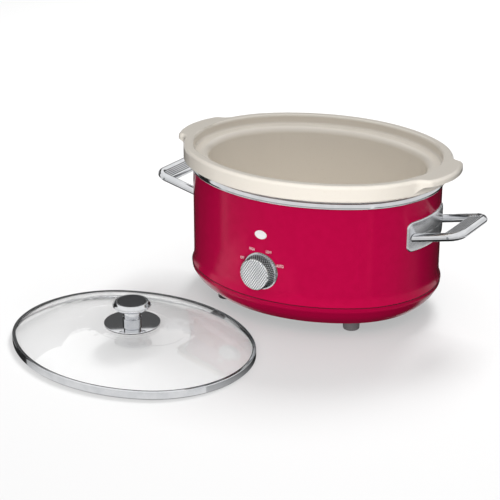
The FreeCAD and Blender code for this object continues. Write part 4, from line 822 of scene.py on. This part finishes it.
class Repeat:
    """Geometry nodes that put one small shape on every point of a mesh."""

    def __init__(self, name: str, sizes: dict[str, float]) -> None:
        """Start an empty tree with a named input for each size.

        Args:
            name: Name of the tree.
            sizes: Input name to its value, in metres.
        """
        self.sizes = sizes
        self.tree = bpy.data.node_groups.new(name, "GeometryNodeTree")
        face = self.tree.interface
        face.new_socket("Points", in_out="INPUT", socket_type="NodeSocketGeometry")
        for size in sizes:
            face.new_socket(size, in_out="INPUT", socket_type="NodeSocketFloat")
        face.new_socket("Seed", in_out="INPUT", socket_type="NodeSocketInt")
        face.new_socket("Material", in_out="INPUT", socket_type="NodeSocketMaterial")
        face.new_socket("Pieces", in_out="OUTPUT", socket_type="NodeSocketGeometry")
        self.given = self.tree.nodes.new("NodeGroupInput").outputs

    def math(self, operation: str, first: object, second: object) -> bpy.types.NodeSocket:
        """One sum in the tree, on sockets or plain numbers."""
        return add_node(self.tree, "ShaderNodeMath", {0: first, 1: second}, operation=operation).outputs[0]

    def lifted(self, shape: bpy.types.NodeSocket, height: bpy.types.NodeSocket) -> bpy.types.NodeSocket:
        """Move a shape straight up.

        Args:
            shape: Mesh to move.
            height: How far up.

        Returns:
            The moved mesh.
        """
        place = add_node(self.tree, "ShaderNodeCombineXYZ", {"Z": height})
        moved = add_node(self.tree, "GeometryNodeTransform", {
            "Geometry": shape, "Translation": place.outputs[0]})
        return moved.outputs[0]

    def rod(self, radius: object, depth: object, start: object, sides: int) -> bpy.types.NodeSocket:
        """An upright rod that starts at a height.

        Args:
            radius: Radius of the rod, as a socket or a number.
            depth: Its length.
            start: Height of its lower end.
            sides: Number of its flat sides.

        Returns:
            The rod's mesh.
        """
        rod = add_node(self.tree, "GeometryNodeMeshCylinder", {
            "Radius": radius, "Depth": depth, "Vertices": sides})
        middle = self.math("ADD", start, self.math("MULTIPLY", depth, 0.5))
        return self.lifted(rod.outputs["Mesh"], middle)

    def finish(self, shape: bpy.types.NodeSocket, turn: bpy.types.NodeSocket | None = None) -> None:
        """Put the shape on the points, make it real and give it its material.

        Args:
            shape: The shape to repeat.
            turn: How each copy is turned, if at all.
        """
        inputs = {"Points": self.given["Points"], "Instance": shape}
        if turn is not None:
            inputs["Rotation"] = turn
        spread = add_node(self.tree, "GeometryNodeInstanceOnPoints", inputs)
        real = add_node(self.tree, "GeometryNodeRealizeInstances", {"Geometry": spread.outputs[0]})
        painted = add_node(self.tree, "GeometryNodeSetMaterial", {
            "Geometry": real.outputs[0], "Material": self.given["Material"]})
        add_node(self.tree, "NodeGroupOutput", {"Pieces": painted.outputs[0]})

    def make(self, name: str, places: list[Vector], finish: Finish, seed: int = 7) -> bpy.types.Object:
        """Run the tree on some places.

        Args:
            name: Name of the piece.
            places: One point for each copy.
            finish: What the copies are made of.
            seed: Seed of anything random in the tree.

        Returns:
            One piece that holds every copy.
        """
        points = bpy.data.meshes.new(f"{name}_points")
        points.from_pydata(places, [], [])
        maker = bpy.data.objects.new(f"{name}_maker", points)
        bpy.context.collection.objects.link(maker)
        modifier = maker.modifiers.new("repeat", "NODES")
        modifier.node_group = self.tree
        values = {**self.sizes, "Seed": seed, "Material": finish.material()}
        for socket in self.tree.interface.items_tree:
            if socket.in_out == "INPUT" and socket.name in values:
                modifier[socket.identifier] = values[socket.name]
        depsgraph = bpy.context.evaluated_depsgraph_get()
        mesh = bpy.data.meshes.new_from_object(maker.evaluated_get(depsgraph))
        bpy.data.objects.remove(maker)
        mesh.name = name
        piece = bpy.data.objects.new(name, mesh)
        bpy.context.collection.objects.link(piece)
        return piece


@dataclass
class BottomScrews:
    """The cross-headed screws that hold the bottom plate and the feet, heads down."""

    wall: Oval
    stand: Placing
    head_radius: float = 3.2 * MM
    head_height: float = 1.5 * MM
    shank_radius: float = 1.7 * MM
    plate_shank: float = 11.2 * MM
    foot_shank: float = 13.7 * MM
    plate_under: float = 15.5 * MM
    foot_well: float = 7.0 * MM
    boss_inset: float = 21.0 * MM
    foot_end_inset: float = 64.0 * MM
    foot_side_inset: float = 58.0 * MM
    slot_width: float = 0.9 * MM
    slot_depth: float = 0.7 * MM
    slot_span: float = 1.3  # length of a slot, as a share of the head's radius
    head_sides: int = 48
    shank_sides: int = 32

    def screw_nodes(self, name: str, shank: float) -> Repeat:
        """A screw with a crossed slot in its head, turned at random on each point.

        Args:
            name: Name of the tree.
            shank: Length of the shank.

        Returns:
            The tree, ready to be run on places.
        """
        screw = Repeat(name, {
            "Head radius": self.head_radius,
            "Head height": self.head_height,
            "Shank radius": self.shank_radius,
            "Shank length": shank,
            "Slot width": self.slot_width,
            "Slot depth": self.slot_depth,
        })
        given = screw.given
        down = screw.math("MULTIPLY", given["Head height"], -1.0)
        cut = screw.rod(given["Head radius"], given["Head height"], down, self.head_sides)
        span = screw.math("MULTIPLY", given["Head radius"], self.slot_span)
        deep = screw.math("MULTIPLY", given["Slot depth"], 2.0)
        for sides in ({"X": span, "Y": given["Slot width"]}, {"X": given["Slot width"], "Y": span}):
            size = add_node(screw.tree, "ShaderNodeCombineXYZ", {**sides, "Z": deep})
            bar = add_node(screw.tree, "GeometryNodeMeshCube", {"Size": size.outputs[0]})
            cut = add_node(screw.tree, "GeometryNodeMeshBoolean", {
                "Mesh 1": cut,
                "Mesh 2": screw.lifted(bar.outputs["Mesh"], down),
            }, operation="DIFFERENCE").outputs["Mesh"]
        shank_rod = screw.rod(given["Shank radius"], given["Shank length"], 0.0, self.shank_sides)
        both = add_node(screw.tree, "GeometryNodeJoinGeometry")
        screw.tree.links.new(cut, both.inputs[0])
        screw.tree.links.new(shank_rod, both.inputs[0])
        angle = add_node(screw.tree, "FunctionNodeRandomValue", {"Max": math.tau, "Seed": given["Seed"]})
        turn = add_node(screw.tree, "ShaderNodeCombineXYZ", {"Z": angle.outputs["Value"]})
        screw.finish(both.outputs[0], turn.outputs[0])
        return screw

    def build(self) -> list[bpy.types.Object]:
        """Put the screws in the bottom plate's bosses and in the wells of the feet.

        Returns:
            The plate's screws and the feet's screws.
        """
        return [self.build_plate_screws(), self.build_foot_screws()]

    def build_plate_screws(self) -> bpy.types.Object:
        """Put a screw in each of the bottom plate's four bosses.

        Returns:
            The piece with these screws.
        """
        length = self.wall.half_length - self.boss_inset
        depth = self.wall.half_depth - self.boss_inset
        places = []
        for x, y in ((length, 0), (-length, 0), (0, depth), (0, -depth)):
            places.append(self.stand.middle + Vector((x, y, self.plate_under)))
        screws = self.screw_nodes("plate_screw_nodes", self.plate_shank)
        piece = screws.make("crosshead_plate_screws", places, ZINC)
        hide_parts("plate_screws")
        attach(piece, "base")
        return piece

    def build_foot_screws(self) -> bpy.types.Object:
        """Put a screw in the well of each of the four feet.

        Returns:
            The piece with these screws.
        """
        length = self.wall.half_length - self.foot_end_inset
        depth = self.wall.half_depth - self.foot_side_inset
        places = []
        for x in (-length, length):
            for y in (-depth, depth):
                places.append(self.stand.middle + Vector((x, y, self.foot_well)))
        screws = self.screw_nodes("foot_screw_nodes", self.foot_shank)
        piece = screws.make("crosshead_foot_screws", places, ZINC)
        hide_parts("foot_screws")
        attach(piece, "base")
        return piece


@dataclass
class GripStrips:
    """Dark strips laid in the grooves of one grip as painted shade in the grooves; the tilt is in degrees.
    """

    wall: Oval
    stand: Placing
    side: Side
    arm_height: float = 112.3 * MM
    tilt: float = 12.8
    first: float = 34.05 * MM
    pitch: float = 2.9 * MM
    grooves: int = 5
    half_thick: float = 3.5 * MM
    sunk: float = 0.23 * MM
    radius: float = 0.5 * MM
    length: float = 56.0 * MM
    rod_sides: int = 12

    def place(self, out: float, rise: float) -> Vector:
        """A place on the handle's slope.

        Args:
            out: Distance from the wall along the arms.
            rise: Distance square to the arms, upwards.

        Returns:
            The place in the shared frame.
        """
        lean = math.radians(self.tilt)
        along = self.wall.half_length + out * math.cos(lean) - rise * math.sin(lean)
        height = self.arm_height + out * math.sin(lean) + rise * math.cos(lean)
        return self.stand.middle + Vector((self.side.value * along, 0.0, height))

    def build(self) -> bpy.types.Object:
        """Lay a strip in every groove.

        Returns:
            The piece with all strips of this grip.
        """
        strips = Repeat(f"grip_strip_nodes_{self.side.word}", {
            "Strip radius": self.radius, "Strip length": self.length})
        given = strips.given
        half = strips.math("MULTIPLY", given["Strip length"], -0.5)
        rod = strips.rod(given["Strip radius"], given["Strip length"], half, self.rod_sides)
        lying = add_node(strips.tree, "GeometryNodeTransform", {
            "Geometry": rod, "Rotation": (math.pi / 2, 0.0, 0.0)})
        strips.finish(lying.outputs[0])
        rise = self.half_thick - self.sunk
        places = [self.place(self.first + index * self.pitch, rise) for index in range(self.grooves)]
        piece = strips.make(f"grip_strips_{self.side.word}", places, PAINTED_SHADE_GREY)
        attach(piece, "base")
        return piece


@dataclass
class Cord:
    """A thin dark cord of painted shade laid along a joint that follows an oval; the oval's turn is in
    degrees.
    """

    name: str
    finish: Finish
    body: str
    wall: Oval
    stand: Placing
    offset: float
    height: float
    radius: float
    turn: float = 0.0
    sides: int = 10
    points_round: int = 240

    def build(self) -> bpy.types.Object:
        """Carry a small round section along the joint.

        Returns:
            The piece.
        """
        turned = Matrix.Translation(self.stand.middle) @ Matrix.Rotation(math.radians(self.turn), 4, "Z")
        section = arc((self.offset, self.height), self.radius, 0, 360, self.sides)
        rings = []
        for offset, height in section[:-1]:
            around = self.wall.ring(offset, height, self.points_round)
            rings.append([turned @ point for point in around])
        piece = skin(self.name, rings, self.finish, wrap=True)
        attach(piece, self.body)
        return piece


def joint_cords(wall: Oval, stand: Placing) -> list[Cord]:
    """The dark cords of painted shade under the enamelled shell, round the lid's glass and under its shield
    disc.

    Args:
        wall: The body's oval.
        stand: Where the cooker stands.

    Returns:
        The cords, not yet built.
    """
    lid = Placing(-77.3 * MM, -119.0 * MM)
    disc = Oval(30.5 * MM, 30.5 * MM, 20.0 * MM)  # an oval as deep as it is long is round
    return [
        Cord("seam_shade_line", PAINTED_SHADE_RED, "base", wall, stand,
             offset=2.3 * MM, height=38.25 * MM, radius=0.38 * MM),
        Cord("rim_shade_line", PAINTED_SHADE_GREY, "lid", wall, lid,
             offset=-5.95 * MM, height=8.1 * MM, radius=0.45 * MM, turn=-10.1),
        Cord("shield_shade_line", PAINTED_SHADE_GREY, "lid", disc, lid,
             offset=-0.6 * MM, height=25.75 * MM, radius=0.6 * MM),
    ]


@dataclass(frozen=True)
class Label:
    """A printed setting: its word and its place on the front wall."""

    word: str
    across: float
    height: float


@dataclass
class SettingLabels:
    """The generic words printed round the control knob."""

    wall: Oval
    stand: Placing
    letter_height: float = 3.3 * MM
    capital_share: float = 0.7  # height of a capital, as a share of the font's size
    squeeze: float = 0.65
    film: float = 0.05 * MM
    clear: float = 0.1 * MM
    labels: tuple[Label, ...] = (
        Label("OFF", -24.9 * MM, 80.6 * MM),
        Label("HIGH", -11.5 * MM, 94.2 * MM),
        Label("LOW", 10.1 * MM, 94.8 * MM),
        Label("AUTO", 23.6 * MM, 80.7 * MM),
    )

    def build(self) -> list[bpy.types.Object]:
        """Print each word on the curved wall.

        Returns:
            One piece for each word.
        """
        return [self.print_word(label) for label in self.labels]

    def print_word(self, label: Label) -> bpy.types.Object:
        """Lay one word on the wall as a thin film of ink.

        Args:
            label: The word and its place.

        Returns:
            The piece, in place.
        """
        curve = bpy.data.curves.new(f"setting_{label.word.lower()}", "FONT")
        curve.body = label.word
        curve.align_x = "CENTER"
        curve.align_y = "CENTER"
        curve.size = self.letter_height / self.capital_share
        curve.extrude = self.film / 2
        text = bpy.data.objects.new("text_maker", curve)
        bpy.context.collection.objects.link(text)
        depsgraph = bpy.context.evaluated_depsgraph_get()
        mesh = bpy.data.meshes.new_from_object(text.evaluated_get(depsgraph))
        bpy.data.objects.remove(text)
        for vertex in mesh.vertices:
            across = label.across + vertex.co.x * self.squeeze
            height = label.height + vertex.co.y
            depth = self.wall.front(across) - self.clear - vertex.co.z
            vertex.co = Vector((self.stand.x + across, self.stand.y + depth, height))
        mesh.materials.clear()
        mesh.materials.append(INK.material())
        piece = bpy.data.objects.new(f"setting_{label.word.lower()}", mesh)
        bpy.context.collection.objects.link(piece)
        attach(piece, "base")
        return piece


@dataclass(frozen=True)
class Panel:
    """A glowing panel that only mirrors and glass see.

    Its bearing, half width and soft edges are in degrees, the bearing from the back, and its heights
    are sines. Its low and high edges can slope with the bearing.
    """

    name: str
    bearing: float
    half_width: float
    low: float
    high: float
    glow: float
    soft: float
    slope: float = 0.0

    @property
    def soft_height(self) -> float:
        """Fade of the low and high edges as a sine; a degree is about a sixtieth."""
        return self.soft / 60


@dataclass(frozen=True)
class SoftBox:
    """An oblong lamp: its place and sizes in metres, and its power in watts."""

    name: str
    place: tuple[float, float, float]
    width: float
    height: float
    watts: float

    def hang(self, aim_at: tuple[float, float, float]) -> bpy.types.Object:
        """Hang the lamp, hidden from mirrors.

        Args:
            aim_at: Place that it points at.

        Returns:
            The lamp.
        """
        lamp = bpy.data.lights.new(self.name, "AREA")
        lamp.shape = "RECTANGLE"
        lamp.size = self.width
        lamp.size_y = self.height
        lamp.energy = self.watts
        holder = bpy.data.objects.new(self.name, lamp)
        holder.location = self.place
        aim = Vector(aim_at) - Vector(self.place)
        holder.rotation_euler = aim.to_track_quat("-Z", "Y").to_euler()
        holder.visible_glossy = False
        bpy.context.collection.objects.link(holder)
        return holder


@dataclass
class Studio:
    """Pale floor, soft lamps, the room that mirrors and glass see, and the camera.

    Places are in metres and the camera's angles in degrees. The sky's limits are heights as sines.
    """

    azimuth: float = 32.09
    elevation: float = 21.68
    camera_at: tuple[float, float, float] = (0.81538, -1.30267, 0.69754)
    lens_mm: float = 107.75
    sensor_mm: float = 36.0
    lamps_aim: tuple[float, float, float] = (0.0, 0.0, 0.08)
    key_light: SoftBox = SoftBox("key_light", (1.06, -2.0, 0.12), 0.6, 0.16, 44)
    front_fill: SoftBox = SoftBox("front_fill", (0.9, -1.4, 1.9), 1.2, 1.2, 8)
    table_light: SoftBox = SoftBox("table_light", (-0.2, 1.5, 1.9), 0.9, 0.9, 62)
    floor_reach: float = 12.0
    floor_drop: float = 0.5 * MM
    floor_colour: str = "#A8A8A8"
    sky_glow: float = 1.0
    sky_low: float = 0.35
    sky_full: float = 0.75
    floor_glow: float = 0.395
    room_dim: float = 0.02
    panels: tuple[Panel, ...] = (
        Panel("left_strip", -113, 4, -0.42, 0.30, 0.75, soft=5),
        Panel("right_strip", 122, 3, -0.42, 0.30, 0.95, soft=4),
        Panel("table", 0, 200, -0.66, -0.45, 0.75, soft=2),
        Panel("table_right", 85, 30, -0.80, -0.08, 0.28, soft=24),
        Panel("table_front_left", -150, 62, -0.66, -0.43, 0.85, soft=2),
        Panel("table_front_right", 150, 62, -0.66, -0.43, 0.85, soft=2),
        Panel("front_left", -152, 38, -0.80, 0.43, 0.40, soft=7),
        Panel("front_right", 156, 34, -0.80, 0.43, 0.40, soft=7),
        Panel("front_wall_left", -150, 50, -0.24, 0.59, 0.85, soft=4),
        Panel("front_wall_right", 150, 50, -0.24, 0.43, 0.85, soft=4),
        Panel("side_wall", 75, 62, -0.26, 0.43, 0.80, soft=4),
        Panel("back_wall", -38, 44, -0.26, 0.16, 0.60, soft=4),
        Panel("back_dim", -35, 12, 0.10, 0.43, 0.10, soft=2),
        Panel("ceiling", 81, 119, 0.4165, 1.2, 0.95, soft=0.06),
        Panel("ceiling_slope", -47, 9, 0.502, 1.4, 0.95, soft=0.06, slope=-0.0095),
        Panel("ceiling_left", -128, 72, 0.59, 1.2, 0.95, soft=0.06),
    )

    def build(self) -> None:
        """Make the whole setting."""
        self.make_world()
        floor = self.make_floor()
        self.make_lamps(floor)
        self.make_camera()
        bpy.context.scene.view_settings.view_transform = "Standard"

    def make_world(self) -> None:
        """White to the camera, a room of panels to mirrors and glass, and a sky that lights the rest."""
        world = bpy.data.worlds.new("studio_air")
        bpy.context.scene.world = world
        world.use_nodes = True
        tree = world.node_tree
        tree.nodes.clear()
        path = add_node(tree, "ShaderNodeLightPath")
        bent = add_node(tree, "ShaderNodeMath", {
            0: path.outputs["Is Glossy Ray"], 1: path.outputs["Is Transmission Ray"]}, operation="MAXIMUM")
        white = linear("#FFFFFF")
        lighting = add_node(tree, "ShaderNodeBackground", {"Color": white, "Strength": self.sky(tree)})
        backdrop = add_node(tree, "ShaderNodeBackground", {"Color": white, "Strength": 1.0})
        room = add_node(tree, "ShaderNodeBackground", {"Color": self.room_colour(tree), "Strength": 1.0})
        mirrored = add_node(tree, "ShaderNodeMixShader", {
            0: bent.outputs[0], 1: lighting.outputs[0], 2: room.outputs[0]})
        mix = add_node(tree, "ShaderNodeMixShader", {
            0: path.outputs["Is Camera Ray"], 1: mirrored.outputs[0], 2: backdrop.outputs[0]})
        add_node(tree, "ShaderNodeOutputWorld", {"Surface": mix.outputs[0]})

    def sky(self, tree: bpy.types.NodeTree) -> bpy.types.NodeSocket:
        """A broad light from above that fades out towards the horizon.

        Args:
            tree: The world's tree.

        Returns:
            Output socket with the light's strength.
        """
        way = add_node(tree, "ShaderNodeSeparateXYZ", {
            0: add_node(tree, "ShaderNodeTexCoord").outputs["Generated"]})
        return add_node(tree, "ShaderNodeMapRange", {
            "Value": way.outputs["Z"], "From Min": self.sky_low, "From Max": self.sky_full,
            "To Max": self.sky_glow}).outputs[0]

    def room_colour(self, tree: bpy.types.NodeTree) -> bpy.types.NodeSocket:
        """What mirrors and glass see: a dim room with the bright panels hung in it.

        Args:
            tree: The world's tree.

        Returns:
            Output socket with the room's grey.
        """
        way = add_node(tree, "ShaderNodeSeparateXYZ", {
            0: add_node(tree, "ShaderNodeTexCoord").outputs["Generated"]})
        bearing = add_node(tree, "ShaderNodeMath", {
            0: way.outputs["X"], 1: way.outputs["Y"]}, operation="ARCTAN2").outputs[0]
        grey = self.room_dim
        for panel in self.panels:
            across = self.between(tree, bearing, math.radians(panel.bearing - panel.half_width),
                                  math.radians(panel.bearing + panel.half_width), math.radians(panel.soft))
            sloped = self.sheared(tree, way.outputs["Z"], bearing, math.degrees(panel.slope))
            start = panel.slope * panel.bearing
            upright = self.between(tree, sloped, panel.low - start, panel.high - start, panel.soft_height)
            lit = add_node(tree, "ShaderNodeMath", {0: across, 1: upright}, operation="MULTIPLY")
            glow = add_node(tree, "ShaderNodeMath", {
                0: lit.outputs[0], 1: panel.glow}, operation="MULTIPLY", label=panel.name)
            brightest = add_node(tree, "ShaderNodeMath", {0: grey, 1: glow.outputs[0]}, operation="MAXIMUM")
            grey = brightest.outputs[0]
        return grey

    @staticmethod
    def sheared(
        tree: bpy.types.NodeTree, value: bpy.types.NodeSocket, along: bpy.types.NodeSocket, rate: float
    ) -> bpy.types.NodeSocket:
        """Take away from a value a share of another one.

        Args:
            tree: Tree that gets the node.
            value: Value to shear.
            along: Value that it is sheared along.
            rate: How much to take away for each unit of the other value.

        Returns:
            The sheared value, or the value itself where the rate is 0.
        """
        if not rate:
            return value
        less = add_node(tree, "ShaderNodeMath", {0: along, 1: -rate, 2: value}, operation="MULTIPLY_ADD")
        return less.outputs[0]

    @staticmethod
    def between(
        tree: bpy.types.NodeTree, value: bpy.types.NodeSocket, low: float, high: float, soft: float
    ) -> bpy.types.NodeSocket:
        """Fade a value in above a low limit and out again above a high one.

        Args:
            tree: Tree that gets the nodes.
            value: Value to test.
            low: Where it is half faded in.
            high: Where it is half faded out.
            soft: Width of each fade.

        Returns:
            Output socket, 1 between the limits and 0 outside.
        """
        fades = []
        for limit, ends in ((low, (0.0, 1.0)), (high, (1.0, 0.0))):
            fades.append(add_node(tree, "ShaderNodeMapRange", {
                "Value": value, "From Min": limit - soft / 2, "From Max": limit + soft / 2,
                "To Min": ends[0], "To Max": ends[1]}, interpolation_type="SMOOTHSTEP").outputs[0])
        return add_node(tree, "ShaderNodeMath", {0: fades[0], 1: fades[1]}, operation="MULTIPLY").outputs[0]

    def make_floor(self) -> bpy.types.Object:
        """A white lacquered table top that reads white where nothing shades it.

        Returns:
            The floor.
        """
        reach = self.floor_reach
        corners = [(-reach, -reach, 0), (reach, -reach, 0), (reach, reach, 0), (-reach, reach, 0)]
        mesh = bpy.data.meshes.new("table_top")
        mesh.from_pydata(corners, [], [(0, 1, 2, 3)])
        floor = bpy.data.objects.new("table_top", mesh)
        bpy.context.collection.objects.link(floor)
        floor.location.z = -self.floor_drop
        material = bpy.data.materials.new("white_lacquered_board")
        material.use_nodes = True
        tree = material.node_tree
        shader = tree.nodes["Principled BSDF"]
        shader.inputs["Base Color"].default_value = linear(self.floor_colour)
        shader.inputs["Roughness"].default_value = 0.12
        shader.inputs["Specular IOR Level"].default_value = 0.0
        shader.inputs["Emission Color"].default_value = linear("#FFFFFF")
        tree.links.new(self.table_glow(tree), shader.inputs["Emission Strength"])
        mesh.materials.append(material)
        floor.visible_glossy = False
        floor.visible_diffuse = False
        return floor

    def table_glow(self, tree: bpy.types.NodeTree) -> bpy.types.NodeSocket:
        """Make up what the lamps leave short of white, for the eye and for glass.

        Args:
            tree: The table top's tree.

        Returns:
            Output socket with the strength of the glow.
        """
        path = add_node(tree, "ShaderNodeLightPath")
        seen = add_node(tree, "ShaderNodeMath", {
            0: path.outputs["Is Camera Ray"], 1: path.outputs["Is Transmission Ray"]}, operation="MAXIMUM")
        glow = add_node(tree, "ShaderNodeMath", {
            0: seen.outputs[0], 1: self.floor_glow}, operation="MULTIPLY")
        return glow.outputs[0]

    def make_lamps(self, floor: bpy.types.Object) -> None:
        """A key too low to shine into the crock, a weak fill, and a lamp for the table alone.

        Args:
            floor: The table top, which the last lamp lights without lighting the cooker.
        """
        self.key_light.hang(self.lamps_aim)
        self.front_fill.hang(self.lamps_aim)
        table_lamp = self.table_light.hang(self.lamps_aim)
        lit = bpy.data.collections.new("table_only")
        lit.objects.link(floor)
        table_lamp.light_linking.receiver_collection = lit

    def make_camera(self) -> None:
        """The photograph's angle, found by fitting the wall, rim and lid ovals."""
        data = bpy.data.cameras.new("camera")
        data.lens = self.lens_mm
        data.sensor_width = self.sensor_mm
        camera = bpy.data.objects.new("camera", data)
        camera.location = self.camera_at
        camera.rotation_euler = (math.radians(90 - self.elevation), 0.0, math.radians(self.azimuth))
        bpy.context.collection.objects.link(camera)
        bpy.context.scene.camera = camera


def main() -> None:
    """Dress the cooker, then set it in the studio."""
    logging.basicConfig(level=logging.INFO, format="%(message)s")
    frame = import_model()
    wall = Oval()
    stand = Placing()
    dress_nodes(frame["nodes"])
    pieces = [TrimRing(wall, stand).build()]
    for side in Side:
        pieces.append(HandlePlate(wall, stand, side).build())
        pieces.append(GripStrips(wall, stand, side).build())
    pieces.append(ControlKnob(wall, stand).build())
    pieces += BottomScrews(wall, stand).build()
    pieces += [cord.build() for cord in joint_cords(wall, stand)]
    pieces += SettingLabels(wall, stand).build()
    for piece in pieces:
        log.info("built %s with %d faces", piece.name, len(piece.data.polygons))
    Studio().build()


if __name__ == "__main__":
    main()
